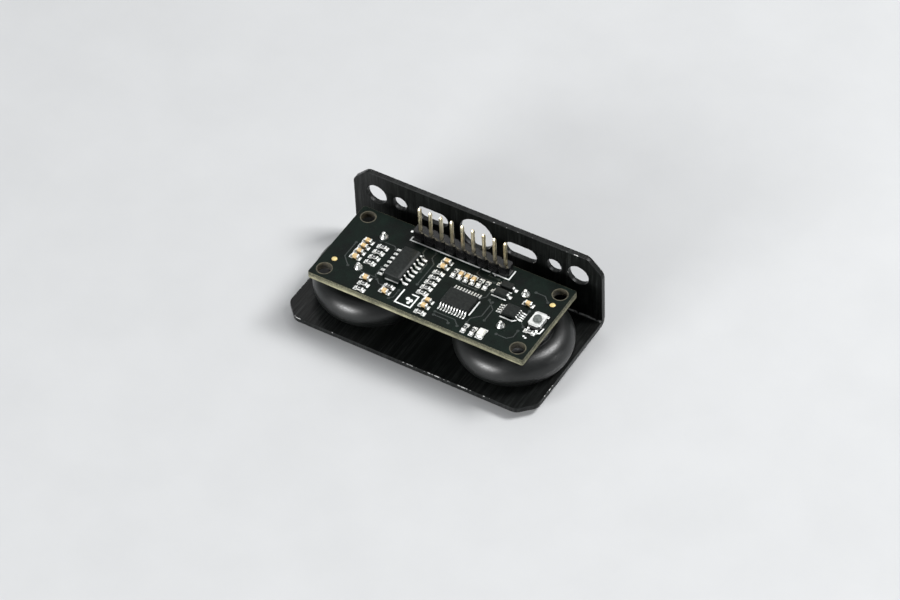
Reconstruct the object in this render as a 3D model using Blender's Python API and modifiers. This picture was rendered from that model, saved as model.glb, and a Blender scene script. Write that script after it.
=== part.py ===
"""Ultrasonic distance sensor: a two-transducer ranging board in a bent aluminium bracket.

The sensor stands on the faces of its two transducers. The bracket's base plate lies just above
them, its upright rises behind the circuit board, and two rubber grommets hold the transducer
cans in the base plate. X runs along the board, +Y towards the upright, +Z up. The origin is at
the middle of the bracket's outline, on the surface that the sensor stands on.
"""

import math

import bmesh
import bpy
from mathutils import Matrix

MM = 0.001

# Heights above the surface that the sensor stands on
CAN_HEIGHT = 12.0 * MM
BOARD_GAP = 0.3 * MM
BOARD_THICKNESS = 1.6 * MM
BOARD_BOTTOM = CAN_HEIGHT + BOARD_GAP
BOARD_TOP = BOARD_BOTTOM + BOARD_THICKNESS

# Bracket, bent from one sheet
SHEET = 1.2 * MM
BRACKET_WIDTH = 59.6 * MM
BRACKET_DEPTH = 30.8 * MM
BRACKET_X = -0.3 * MM
BASE_TOP = 2.7 * MM
BRACKET_TOP = 19.3 * MM
BEND_INNER_RADIUS = 0.6 * MM
BRACKET_CHAMFER = 3.4 * MM
BASE_HOLE_RADIUS = 10.0 * MM
UPRIGHT_HOLE_HEIGHT = 13.6 * MM
CENTRE_HOLE_RADIUS = 4.0 * MM
SLOT_X = 10.6 * MM
SLOT_LENGTH = 7.6 * MM
SLOT_WIDTH = 3.6 * MM
SMALL_HOLE_X = 18.5 * MM
SMALL_HOLE_RADIUS = 1.7 * MM
LARGE_HOLE_X = 24.2 * MM
LARGE_HOLE_RADIUS = 2.4 * MM
BASE_BOTTOM = BASE_TOP - SHEET

# Circuit board; places on it are measured from its centre
BOARD_CENTRE = (0.6 * MM, -1.0 * MM)
BOARD_LENGTH = 51.0 * MM
BOARD_WIDTH = 22.0 * MM
BOARD_CORNER_RADIUS = 0.4 * MM
BOARD_HOLE_PLACE = (22.95 * MM, 8.5 * MM)
BOARD_HOLE_RADIUS = 1.5 * MM
PIN_HOLE_RADIUS = 0.52 * MM

# Transducers; the can's rim is turned over at its front, where its edge is rounded
TRANSDUCER_X = 16.9 * MM
CAN_RADIUS = 8.0 * MM
CAN_WALL = 0.5 * MM
CAN_MOUTH_RADIUS = 6.6 * MM
CAN_EDGE_RADIUS = 0.5 * MM
FIT_GAP = 0.05 * MM
SCREEN_THICKNESS = 0.3 * MM
HORN_CLEARANCE = 0.8 * MM
HORN_RADIUS = 5.0 * MM
HORN_NECK_RADIUS = 1.1 * MM
HORN_DEPTH = 3.2 * MM
HORN_WALL = 0.3 * MM
HORN_LIP = 0.1 * MM
DISC_RADIUS = 5.6 * MM
DISC_THICKNESS = 0.9 * MM
POTTING_LOW = 9.4 * MM
POTTING_RECESS = 0.1 * MM
BOSS_OUTER_RADIUS = 4.9 * MM
BOSS_INNER_RADIUS = 4.0 * MM
PIN_RADIUS = 0.4 * MM
PIN_LOW = 9.0 * MM
PIN_SPACING = 10.0 * MM
PIN_ABOVE_BOARD = 1.5 * MM

# Grommets
GROMMET_RADIUS = 12.6 * MM
GROMMET_BORE_RADIUS = 8.1 * MM
GROMMET_TUBE_RADIUS = 3.95 * MM
GROMMET_TOP = 10.35 * MM
GROMMET_SHOULDER = 0.55 * MM
GROMMET_LIP_RADIUS = 11.4 * MM
GROMMET_LIP_LOW = 0.3 * MM
GROMMET_LIP_EDGE = 0.4 * MM
GROMMET_GAP = 0.1 * MM

# Pin header
PITCH = 2.54 * MM
HEADER_PINS = 9
HEADER_Y = 8.6 * MM
HEADER_HEIGHT = 2.54 * MM
HEADER_WIDTH = 2.5 * MM
HEADER_NOTCH = 0.45 * MM
HEADER_END_NOTCH = 0.55 * MM
HEADER_PIN_WIDTH = 0.64 * MM
HEADER_PIN_ABOVE_BASE = 6.05 * MM
HEADER_PIN_BELOW_BOARD = 1.4 * MM
HEADER_PIN_TIP = 0.35 * MM
HEADER_PIN_TIP_SHARE = 0.45
HEADER_HOLE_WIDTH = 0.74 * MM

# Surface-mounted parts stand this far above the board
SEAT = 0.05 * MM

# Tactile switch
SWITCH_PLACE = (23.1 * MM, -0.75 * MM)
SWITCH_SIZE = (2.8 * MM, 4.0 * MM)
SWITCH_BASE_HEIGHT = 1.1 * MM
SWITCH_COVER_THICKNESS = 0.2 * MM
SWITCH_WELL_RADIUS = 1.15 * MM
SWITCH_WELL_DEPTH = 0.85 * MM
SWITCH_DOME_THICKNESS = 0.08 * MM
SWITCH_DOME_RISE = 0.16 * MM
PLUNGER_RADIUS = 0.85 * MM
PLUNGER_FLANGE_RADIUS = 1.05 * MM
PLUNGER_FLANGE = 0.22 * MM
PLUNGER_PROUD = 0.55 * MM
PLUNGER_EDGE = 0.1 * MM
PLUNGER_TRAVEL = 0.25 * MM

# Chip resistors and capacitors
CHIP_LENGTH = 1.6 * MM
CHIP_WIDTH = 0.85 * MM
CHIP_END = 0.32 * MM
CHIP_END_PROUD = 0.02 * MM
RESISTOR_HEIGHT = 0.45 * MM
CAPACITOR_HEIGHT = 0.8 * MM

# Rows of chips: kind, first place, step to the next, how many, and whether they lie along Y
CHIP_ROWS = (
    ("capacitor", (-19.05, 2.3), (0.0, -1.68), 4, False),
    ("resistor", (-15.55, 2.3), (0.0, -1.68), 4, False),
    ("capacitor", (-14.0, -6.8), (0.0, 0.0), 1, False),
    ("capacitor", (-8.6, -8.2), (0.0, 0.0), 1, False),
    ("capacitor", (-1.75, 5.2), (0.0, -1.6), 2, False),
    ("resistor", (-1.7, 1.6), (0.0, -1.6), 4, False),
    ("capacitor", (0.5, -6.2), (0.0, -1.6), 2, False),
    ("capacitor", (2.65, 3.3), (1.5, 0.0), 3, True),
    ("capacitor", (18.8, 2.9), (0.0, 0.0), 1, False),
)

# Moulded packages with gull-wing leads, in millimetres: name, place, body length along its rows
# of leads, body width, height, span over the leads, lead pitch, leads a side, lead width, and
# whether the rows lie along X
PACKAGES = (
    ("ic_amplifier", (-9.1, -0.45), 8.65, 3.9, 1.6, 6.2, 1.27, 7, 0.42, False),
    ("ic_controller", (6.2, -3.25), 6.5, 4.4, 1.1, 6.4, 0.65, 10, 0.24, True),
    ("ic_comparator", (16.95, -0.75), 3.0, 3.0, 1.05, 4.9, 0.65, 4, 0.28, False),
    ("diode_1", (12.6, 5.0), 1.6, 2.7, 1.05, 3.7, 1.0, 1, 0.6, False),
    ("diode_2", (12.5, 2.75), 1.6, 2.7, 1.05, 3.7, 1.0, 1, 0.6, False),
)
PACKAGE_STANDOFF = 0.08 * MM
PACKAGE_EDGE = 0.12 * MM
LEAD_THICKNESS = 0.16 * MM
LEAD_INSIDE = 0.2 * MM
LEAD_SHOULDER = 0.25 * MM
LEAD_SLOPE = 0.18 * MM

# The light-emitting diode: a base of a share of its height, and a lens on it
LED_PLACE = (14.6 * MM, -8.7 * MM)
LED_SIZE = (1.5 * MM, 2.1 * MM, 0.9 * MM)
LED_BASE_SHARE = 0.55
LED_LENS_SHARE = (0.86, 0.62)

# Colour, metallic value and roughness of each material
FINISHES = {
    "black_anodised": ((0.018, 0.019, 0.02), 0.85, 0.42),
    "rubber_black": ((0.014, 0.015, 0.015), 0.0, 0.45),
    "board_black": ((0.03, 0.042, 0.04), 0.0, 0.4),
    "can_aluminium": ((0.62, 0.63, 0.64), 1.0, 0.32),
    "screen_steel": ((0.4, 0.4, 0.4), 1.0, 0.45),
    "horn_aluminium": ((0.7, 0.7, 0.71), 1.0, 0.35),
    "piezo_brass": ((0.74, 0.6, 0.35), 1.0, 0.35),
    "phenolic_grey": ((0.12, 0.12, 0.11), 0.0, 0.6),
    "pin_tinned": ((0.72, 0.72, 0.7), 1.0, 0.3),
    "header_plastic": ((0.012, 0.012, 0.013), 0.0, 0.28),
    "pin_gold": ((0.83, 0.75, 0.52), 1.0, 0.28),
    "epoxy_black": ((0.025, 0.027, 0.027), 0.0, 0.5),
    "switch_plastic": ((0.03, 0.03, 0.03), 0.0, 0.5),
    "switch_metal": ((0.78, 0.78, 0.76), 1.0, 0.3),
    "plunger_plastic": ((0.06, 0.065, 0.06), 0.0, 0.5),
    "led_white": ((0.85, 0.86, 0.78), 0.0, 0.35),
    "ceramic_tan": ((0.66, 0.5, 0.33), 0.0, 0.45),
    "resistor_black": ((0.05, 0.05, 0.05), 0.0, 0.4),
}

ROUND_STEPS = 48
SMALL_ROUND_STEPS = 24
PIN_STEPS = 12
HOLE_STEPS = 32
SMOOTH_ANGLE = math.radians(35)
OVERSHOOT = 1.0 * MM
MERGE = 1e-6


# ---- Scene and helpers -------------------------------------------------------------------------

def clear_scene():
    for obj in list(bpy.data.objects):
        bpy.data.objects.remove(obj, do_unlink=True)


def new_collection(name):
    collection = bpy.data.collections.new(name)
    bpy.context.scene.collection.children.link(collection)
    return collection


def make_materials():
    materials = {}
    for name, (colour, metallic, roughness) in FINISHES.items():
        material = bpy.data.materials.new(name)
        material.use_nodes = True
        shader = material.node_tree.nodes["Principled BSDF"]
        shader.inputs["Base Color"].default_value = (*colour, 1.0)
        shader.inputs["Metallic"].default_value = metallic
        shader.inputs["Roughness"].default_value = roughness
        material.diffuse_color = (*colour, 1.0)
        materials[name] = material
    return materials


def mesh_object(name, mesh, collection=None):
    obj = bpy.data.objects.new(name, mesh)
    (collection or PARTS).objects.link(obj)
    return obj


def from_bmesh(name, bm):
    mesh = bpy.data.meshes.new(name)
    bm.to_mesh(mesh)
    bm.free()
    return mesh


def box_mesh(name, size, centre=(0.0, 0.0, 0.0)):
    bm = bmesh.new()
    matrix = Matrix.Translation(centre) @ Matrix.Diagonal((*size, 1.0))
    bmesh.ops.create_cube(bm, size=1.0, matrix=matrix)
    return from_bmesh(name, bm)


def cylinder_mesh(name, radius, low, high, steps=SMALL_ROUND_STEPS, at=(0.0, 0.0)):
    bm = bmesh.new()
    matrix = Matrix.Translation((at[0], at[1], (low + high) / 2.0))
    bmesh.ops.create_cone(bm, cap_ends=True, segments=steps, radius1=radius, radius2=radius,
                          depth=high - low, matrix=matrix)
    return from_bmesh(name, bm)


def evaluated_mesh(obj):
    """The object's mesh with its modifiers or curve bevel worked out, its caps welded."""
    bpy.context.view_layer.update()
    graph = bpy.context.evaluated_depsgraph_get()
    mesh = bpy.data.meshes.new_from_object(obj.evaluated_get(graph))
    bm = bmesh.new()
    bm.from_mesh(mesh)
    bmesh.ops.remove_doubles(bm, verts=bm.verts, dist=MERGE)
    bm.to_mesh(mesh)
    bm.free()
    return mesh


def outline_mesh(name, points, thickness, holes=()):
    """A flat plate centred on Z = 0 from a closed outline in X and Y, and its holes."""
    curve = bpy.data.curves.new(name, "CURVE")
    curve.dimensions = "2D"
    curve.fill_mode = "BOTH"
    curve.extrude = thickness / 2.0
    for loop in (points, *holes):
        spline = curve.splines.new("POLY")
        spline.points.add(len(loop) - 1)
        for point, (x, y) in zip(spline.points, loop):
            point.co = (x, y, 0.0, 1.0)
        spline.use_cyclic_u = True
    obj = mesh_object(name + "_outline", curve, CUTTERS)
    mesh = evaluated_mesh(obj)
    bpy.data.objects.remove(obj, do_unlink=True)
    return mesh


def arc(centre, radius, start, end, steps):
    """Points along an arc, from one angle to another in degrees."""
    points = []
    for i in range(steps + 1):
        angle = math.radians(start + (end - start) * i / steps)
        points.append((centre[0] + radius * math.cos(angle), centre[1] + radius * math.sin(angle)))
    return points


def circle(radius):
    """A closed outline round the origin, whose last point stops one step short of its first."""
    return arc((0.0, 0.0), radius, 0, 360 - 360 / HOLE_STEPS, HOLE_STEPS - 1)


def rounded_rectangle(length, width, radius, steps=4):
    x = length / 2.0 - radius
    y = width / 2.0 - radius
    points = []
    for (cx, cy), start in (((x, y), 0), ((-x, y), 90), ((-x, -y), 180), ((x, -y), 270)):
        points += arc((cx, cy), radius, start, start + 90, steps)
    return points


def turned(name, profile, closed, steps=ROUND_STEPS):
    """A solid turned about Z from a profile of (radius, height) points."""
    bm = bmesh.new()
    verts = [bm.verts.new((radius, 0.0, height)) for radius, height in profile]
    for a, b in zip(verts, verts[1:]):
        bm.edges.new((a, b))
    if closed:
        bm.edges.new((verts[-1], verts[0]))
    obj = mesh_object(name, from_bmesh(name, bm))
    screw = obj.modifiers.new("Turn", "SCREW")
    screw.steps = steps
    screw.render_steps = steps
    screw.use_merge_vertices = True
    screw.merge_threshold = MERGE
    screw.use_smooth_shade = True
    return obj


def cutter(name, mesh, matrix=None):
    obj = mesh_object(name, mesh, CUTTERS)
    obj.hide_render = True
    obj.display_type = "WIRE"
    if matrix is not None:
        obj.matrix_world = matrix
    return obj


def combine(obj, other, operation):
    modifier = obj.modifiers.new(operation.title(), "BOOLEAN")
    modifier.operation = operation
    modifier.solver = "EXACT"
    modifier.object = other


def joined_mesh(name, meshes_and_places):
    """One mesh made of separate shapes, each a mesh and the matrix that places it."""
    bm = bmesh.new()
    for mesh, matrix in meshes_and_places:
        part = bmesh.new()
        part.from_mesh(mesh)
        part.transform(matrix)
        moved = bpy.data.meshes.new(name)
        part.to_mesh(moved)
        part.free()
        bm.from_mesh(moved)
        bpy.data.meshes.remove(moved)
    return from_bmesh(name, bm)


def finish(obj, material, parent=None, smooth=True):
    obj.data.materials.clear()
    obj.data.materials.append(MATERIALS[material])
    if parent is not None:
        obj.parent = parent
    if smooth and obj.data.polygons:
        obj.data.shade_smooth()
        obj.data.set_sharp_from_angle(angle=SMOOTH_ANGLE)
    return obj


def empty(name, location):
    obj = bpy.data.objects.new(name, None)
    obj.location = location
    PARTS.objects.link(obj)
    return obj


# ---- Bracket and grommets ----------------------------------------------------------------------

def bracket_section():
    """The bracket's section in Y and Z: a base plate, a bend and an upright."""
    front = -BRACKET_DEPTH / 2.0
    back = BRACKET_DEPTH / 2.0
    outer = BEND_INNER_RADIUS + SHEET
    bend = (back - outer, BASE_BOTTOM + outer)
    points = [(front, BASE_BOTTOM)]
    points += arc(bend, outer, -90, 0, 8)
    points += [(back, BRACKET_TOP), (back - SHEET, BRACKET_TOP)]
    points += arc(bend, BEND_INNER_RADIUS, 0, -90, 6)
    points.append((front, BASE_TOP))
    return points


def upright_holes():
    """Each hole through the upright: its X, and its outline in X and Z about its own centre."""
    straight = (SLOT_LENGTH - SLOT_WIDTH) / 2.0
    slot = arc((straight, 0.0), SLOT_WIDTH / 2.0, -90, 90, PIN_STEPS)
    slot += arc((-straight, 0.0), SLOT_WIDTH / 2.0, 90, 270, PIN_STEPS)
    holes = [(0.0, circle(CENTRE_HOLE_RADIUS))]
    for side in (-1, 1):
        holes.append((side * SLOT_X, slot))
        holes.append((side * SMALL_HOLE_X, circle(SMALL_HOLE_RADIUS)))
        holes.append((side * LARGE_HOLE_X, circle(LARGE_HOLE_RADIUS)))
    return holes


def make_bracket():
    plate = outline_mesh("bracket", bracket_section(), BRACKET_WIDTH)
    # The outline's own X and Y become the bracket's Y and Z, and its thickness runs along X
    plate.transform(Matrix(((0, 0, 1, BRACKET_X), (1, 0, 0, 0), (0, 1, 0, 0), (0, 0, 0, 1))))
    obj = mesh_object("bracket", plate)

    shapes = []
    for side in (-1, 1):
        centre = (BOARD_CENTRE[0] + side * TRANSDUCER_X, BOARD_CENTRE[1])
        shapes.append((cylinder_mesh("base_hole", BASE_HOLE_RADIUS, 0.0, BASE_TOP + OVERSHOOT,
                                     ROUND_STEPS, centre), Matrix()))
    upright_middle = BRACKET_DEPTH / 2.0 - SHEET / 2.0
    for x, outline in upright_holes():
        hole = outline_mesh("upright_hole", outline, SHEET + 2 * OVERSHOOT)
        place = Matrix.Translation((BRACKET_X + x, upright_middle, UPRIGHT_HOLE_HEIGHT))
        shapes.append((hole, place @ Matrix.Rotation(math.radians(90), 4, "X")))
    combine(obj, cutter("bracket_holes", joined_mesh("bracket_holes", shapes)), "DIFFERENCE")

    # A block at 45 degrees takes off each free corner of the base plate and of the upright
    block = BRACKET_CHAMFER * math.sqrt(2.0)
    corners = []
    for side in (-1, 1):
        for axis, y, z in (("Z", -BRACKET_DEPTH / 2.0, BASE_BOTTOM + SHEET / 2.0),
                           ("Y", upright_middle, BRACKET_TOP)):
            shape = box_mesh("corner", (block, block, block))
            place = Matrix.Translation((BRACKET_X + side * BRACKET_WIDTH / 2.0, y, z))
            corners.append((shape, place @ Matrix.Rotation(math.radians(45), 4, axis)))
    combine(obj, cutter("bracket_corners", joined_mesh("bracket_corners", corners)), "DIFFERENCE")
    return finish(obj, "black_anodised")


def grommet_profile():
    """The grommet's section: a round ring on the plate, a neck in its hole and a lip below."""
    neck = BASE_HOLE_RADIUS - GROMMET_GAP
    ring_low = BASE_TOP + GROMMET_GAP
    tube = (GROMMET_RADIUS - GROMMET_TUBE_RADIUS, GROMMET_TOP - GROMMET_TUBE_RADIUS)
    seat = -math.degrees(math.asin((tube[1] - ring_low) / GROMMET_TUBE_RADIUS))
    shoulder = (GROMMET_BORE_RADIUS + GROMMET_SHOULDER, GROMMET_TOP - GROMMET_SHOULDER)
    lip_top = BASE_BOTTOM - GROMMET_GAP
    points = [(GROMMET_BORE_RADIUS, shoulder[1])]
    points += arc(shoulder, GROMMET_SHOULDER, 150, 90, 2)
    points += arc(tube, GROMMET_TUBE_RADIUS, 90, seat, 9)
    points += [
        (neck, ring_low),
        (neck, lip_top),
        (GROMMET_LIP_RADIUS - GROMMET_LIP_EDGE, lip_top),
        (GROMMET_LIP_RADIUS, lip_top - GROMMET_LIP_EDGE),
        (GROMMET_LIP_RADIUS - GROMMET_LIP_EDGE, GROMMET_LIP_LOW),
        (GROMMET_BORE_RADIUS, GROMMET_LIP_LOW),
    ]
    return points


def make_grommets():
    for side, name in ((-1, "left"), (1, "right")):
        obj = turned("grommet_" + name, grommet_profile(), True)
        obj.location = (BOARD_CENTRE[0] + side * TRANSDUCER_X, BOARD_CENTRE[1], 0.0)
        finish(obj, "rubber_black", smooth=False)


# ---- Transducers -------------------------------------------------------------------------------

def can_profile():
    inner = CAN_RADIUS - CAN_WALL
    edge = (CAN_RADIUS - CAN_EDGE_RADIUS, CAN_EDGE_RADIUS)
    return [
        (CAN_RADIUS, CAN_HEIGHT),
        *arc(edge, CAN_EDGE_RADIUS, 0, -90, 3),
        (CAN_MOUTH_RADIUS, 0.0),
        (CAN_MOUTH_RADIUS, CAN_WALL),
        (inner, CAN_WALL),
        (inner, CAN_HEIGHT),
    ]


def base_profile(boss):
    """The potted base in the can's back, with the ring boss that carries the piezo disc."""
    outer = CAN_RADIUS - CAN_WALL - FIT_GAP
    top = CAN_HEIGHT - POTTING_RECESS
    return [
        (0.0, top),
        (outer, top),
        (outer, POTTING_LOW),
        (BOSS_OUTER_RADIUS, POTTING_LOW),
        (BOSS_OUTER_RADIUS, boss),
        (BOSS_INNER_RADIUS, boss),
        (BOSS_INNER_RADIUS, POTTING_LOW),
        (0.0, POTTING_LOW),
    ]


def make_transducer(side, name):
    """One transducer, face down: can, screen, horn, piezo disc, base and two pins."""
    root = empty("transducer_" + name, (side * TRANSDUCER_X, 0.0, -BOARD_TOP))
    root.parent = BOARD
    prefix = "transducer_" + name + "_"

    can = turned(prefix + "can", can_profile(), True)
    finish(can, "can_aluminium", root, smooth=False)

    screen_low = CAN_WALL + FIT_GAP
    screen_radius = CAN_RADIUS - CAN_WALL - FIT_GAP
    screen = mesh_object(prefix + "screen", cylinder_mesh(
        prefix + "screen", screen_radius, 0.0, SCREEN_THICKNESS, ROUND_STEPS))
    screen.location.z = screen_low
    finish(screen, "screen_steel", root)

    horn_low = screen_low + SCREEN_THICKNESS + HORN_CLEARANCE
    horn_high = horn_low + HORN_DEPTH
    horn_floor = horn_high - 1.5 * HORN_WALL
    horn = turned(prefix + "horn", [
        (0.0, horn_high),
        (HORN_NECK_RADIUS, horn_high),
        (HORN_RADIUS, horn_low + HORN_LIP),
        (HORN_RADIUS - HORN_LIP, horn_low),
        (HORN_RADIUS - HORN_WALL, horn_low),
        (HORN_NECK_RADIUS, horn_floor),
        (0.0, horn_floor),
    ], False, SMALL_ROUND_STEPS)
    finish(horn, "horn_aluminium", root, smooth=False)

    disc_low = horn_high + FIT_GAP
    disc = mesh_object(prefix + "piezo", cylinder_mesh(
        prefix + "piezo", DISC_RADIUS, 0.0, DISC_THICKNESS, SMALL_ROUND_STEPS))
    disc.location.z = disc_low
    finish(disc, "piezo_brass", root)

    boss = disc_low + DISC_THICKNESS + FIT_GAP
    base = turned(prefix + "base", base_profile(boss), False)
    holes = []
    for y in (-PIN_SPACING / 2, PIN_SPACING / 2):
        holes.append((cylinder_mesh("pin_hole", PIN_RADIUS + FIT_GAP, 0.0, CAN_HEIGHT + OVERSHOOT,
                                    PIN_STEPS, (0.0, y)), Matrix()))
    holes = cutter(prefix + "base_holes", joined_mesh("base_holes", holes))
    holes.parent = root
    combine(base, holes, "DIFFERENCE")
    finish(base, "phenolic_grey", root, smooth=False)

    for sign, end in ((-1, "front"), (1, "back")):
        top = BOARD_TOP + PIN_ABOVE_BOARD
        pin = mesh_object(prefix + "pin_" + end, cylinder_mesh(
            prefix + "pin", PIN_RADIUS, PIN_LOW, top, PIN_STEPS))
        pin.location.y = sign * PIN_SPACING / 2
        finish(pin, "pin_tinned", root)


# ---- Circuit board and header ------------------------------------------------------------------

def header_x(index):
    return (index - (HEADER_PINS - 1) / 2.0) * PITCH


def make_board():
    outline = rounded_rectangle(BOARD_LENGTH, BOARD_WIDTH, BOARD_CORNER_RADIUS)
    board = mesh_object("pcb", outline_mesh("pcb", outline, BOARD_THICKNESS))
    board.location.z = -BOARD_THICKNESS / 2.0
    low = -BOARD_THICKNESS - OVERSHOOT
    holes = []
    for x in (-BOARD_HOLE_PLACE[0], BOARD_HOLE_PLACE[0]):
        for y in (-BOARD_HOLE_PLACE[1], BOARD_HOLE_PLACE[1]):
            holes.append((cylinder_mesh("board_hole", BOARD_HOLE_RADIUS, low, OVERSHOOT,
                                        SMALL_ROUND_STEPS, (x, y)), Matrix()))
    pin_places = [(header_x(i), HEADER_Y) for i in range(HEADER_PINS)]
    for x in (-TRANSDUCER_X, TRANSDUCER_X):
        pin_places += [(x, -PIN_SPACING / 2), (x, PIN_SPACING / 2)]
    for place in pin_places:
        holes.append((cylinder_mesh("pin_hole", PIN_HOLE_RADIUS, low, OVERSHOOT, PIN_STEPS, place),
                      Matrix()))
    holes = cutter("board_holes", joined_mesh("board_holes", holes))
    holes.parent = BOARD
    combine(board, holes, "DIFFERENCE")
    finish(board, "board_black", BOARD, smooth=False)


def header_outline():
    """The header body seen from above: a row of octagonal cells, notched between the pins."""
    half = PITCH / 2.0
    y = HEADER_WIDTH / 2.0
    front = []
    for i in range(HEADER_PINS):
        x = header_x(i)
        front.append((x - half + HEADER_NOTCH, -y))
        front.append((x + half - HEADER_NOTCH, -y))
        if i < HEADER_PINS - 1:
            front.append((x + half, -y + HEADER_NOTCH))
    end_x = header_x(HEADER_PINS - 1) + half
    end_y = y - HEADER_END_NOTCH
    back = [(-px, -py) for px, py in front]
    return front + [(end_x, -end_y), (end_x, end_y)] + back + [(-end_x, end_y), (-end_x, -end_y)]


def make_header():
    base = mesh_object("header_base", outline_mesh("header_base", header_outline(),
                                                   HEADER_HEIGHT - SEAT))
    base.location = (0.0, HEADER_Y, SEAT + (HEADER_HEIGHT - SEAT) / 2.0)
    holes = []
    for i in range(HEADER_PINS):
        size = (HEADER_HOLE_WIDTH, HEADER_HOLE_WIDTH, HEADER_HEIGHT + 2 * OVERSHOOT)
        holes.append((box_mesh("pin_hole", size, (header_x(i), HEADER_Y, HEADER_HEIGHT / 2.0)),
                      Matrix()))
    holes = cutter("header_holes", joined_mesh("header_holes", holes))
    holes.parent = BOARD
    combine(base, holes, "DIFFERENCE")
    finish(base, "header_plastic", BOARD, smooth=False)

    corner = HEADER_PIN_WIDTH / math.sqrt(2.0)
    tip = corner * HEADER_PIN_TIP_SHARE
    top = HEADER_HEIGHT + HEADER_PIN_ABOVE_BASE
    bottom = -BOARD_THICKNESS - HEADER_PIN_BELOW_BOARD
    profile = [(0.0, top), (tip, top), (corner, top - HEADER_PIN_TIP),
               (corner, bottom + HEADER_PIN_TIP), (tip, bottom), (0.0, bottom)]
    for i in range(HEADER_PINS):
        pin = turned("header_pin_%d" % (i + 1), profile, False, 4)
        pin.modifiers["Turn"].use_smooth_shade = False
        pin.location = (header_x(i), HEADER_Y, 0.0)
        pin.rotation_euler.z = math.radians(45)
        finish(pin, "pin_gold", BOARD, smooth=False)


# ---- Parts soldered on the board ---------------------------------------------------------------

def lead_mesh(body_width, span, level, width):
    """A gull-wing lead in X and Z, from inside the body out to its foot on the board."""
    inside = body_width / 2.0 - LEAD_INSIDE
    shoulder = body_width / 2.0 + LEAD_SHOULDER
    half = LEAD_THICKNESS / 2.0
    outline = [
        (inside, level + half),
        (shoulder, level + half),
        (shoulder + LEAD_SLOPE + LEAD_THICKNESS, SEAT + LEAD_THICKNESS),
        (span / 2.0, SEAT + LEAD_THICKNESS),
        (span / 2.0, SEAT),
        (shoulder + LEAD_SLOPE, SEAT),
        (shoulder, level - half),
        (inside, level - half),
    ]
    mesh = outline_mesh("lead", outline, width)
    mesh.transform(Matrix.Rotation(math.radians(90), 4, "X"))
    return mesh


def make_package(name, place, length, width, top, span, pitch, per_side, lead_width, along_x):
    """A moulded body with gull-wing leads down both its long sides."""
    low = SEAT + PACKAGE_STANDOFF
    middle = (top + low) / 2.0
    obj = mesh_object(name, box_mesh(name, (width, length, top - low), (0.0, 0.0, middle)))
    bevel = obj.modifiers.new("Edges", "BEVEL")
    bevel.width = PACKAGE_EDGE
    bevel.segments = 1
    bevel.limit_method = "ANGLE"

    lead = lead_mesh(width, span, middle, lead_width)
    leads = []
    for i in range(per_side):
        row = Matrix.Translation((0.0, (i - (per_side - 1) / 2.0) * pitch, 0.0))
        leads.append((lead, row))
        leads.append((lead, Matrix.Rotation(math.pi, 4, "Z") @ row))
    leads = cutter(name + "_leads", joined_mesh(name + "_leads", leads))
    leads.parent = obj
    combine(obj, leads, "UNION")

    obj.location = (*place, 0.0)
    if along_x:
        obj.rotation_euler.z = math.radians(90)
    finish(obj, "epoxy_black", BOARD, smooth=False)


def make_packages():
    for name, place, length, width, top, span, pitch, per_side, lead_width, along_x in PACKAGES:
        make_package(name, (place[0] * MM, place[1] * MM), length * MM, width * MM, top * MM,
                     span * MM, pitch * MM, per_side, lead_width * MM, along_x)


def make_led():
    length, width, height = LED_SIZE
    base = height * LED_BASE_SHARE
    obj = mesh_object("led", box_mesh("led", (length, width, base), (0.0, 0.0, SEAT + base / 2.0)))
    low = SEAT + base / 2.0
    top = SEAT + height
    lens = box_mesh("led_lens", (length * LED_LENS_SHARE[0], width * LED_LENS_SHARE[1], top - low),
                    (0.0, 0.0, (low + top) / 2.0))
    lens = cutter("led_lens", lens)
    lens.parent = obj
    combine(obj, lens, "UNION")
    obj.location = (*LED_PLACE, 0.0)
    finish(obj, "led_white", BOARD, smooth=False)


def chip_mesh(kind):
    """A chip part lying along X: a body between two end caps that stand slightly proud."""
    height = CAPACITOR_HEIGHT if kind == "capacitor" else RESISTOR_HEIGHT
    size = (CHIP_LENGTH - CHIP_END, CHIP_WIDTH - 2 * CHIP_END_PROUD, height - 2 * CHIP_END_PROUD)
    body = box_mesh(kind, size, (0.0, 0.0, SEAT + height / 2.0))
    ends = []
    for side in (-1, 1):
        x = side * (CHIP_LENGTH - CHIP_END) / 2.0
        ends.append((box_mesh("end", (CHIP_END, CHIP_WIDTH, height),
                              (x, 0.0, SEAT + height / 2.0)), Matrix()))
    obj = mesh_object(kind + "_blank", body, CUTTERS)
    caps = mesh_object(kind + "_ends", joined_mesh(kind + "_ends", ends), CUTTERS)
    combine(obj, caps, "UNION")
    mesh = evaluated_mesh(obj)
    bpy.data.objects.remove(obj, do_unlink=True)
    bpy.data.objects.remove(caps, do_unlink=True)
    return mesh


def make_chips():
    meshes = {kind: chip_mesh(kind) for kind in ("capacitor", "resistor")}
    colours = {"capacitor": "ceramic_tan", "resistor": "resistor_black"}
    counts = {"capacitor": 0, "resistor": 0}
    for kind, first, step, number, turned_chip in CHIP_ROWS:
        for i in range(number):
            counts[kind] += 1
            chip = mesh_object("%s_%02d" % (kind, counts[kind]), meshes[kind])
            chip.location = ((first[0] + i * step[0]) * MM, (first[1] + i * step[1]) * MM, 0.0)
            if turned_chip:
                chip.rotation_euler.z = math.radians(90)
            finish(chip, colours[kind], BOARD, smooth=False)


# ---- Tactile switch ----------------------------------------------------------------------------

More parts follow.
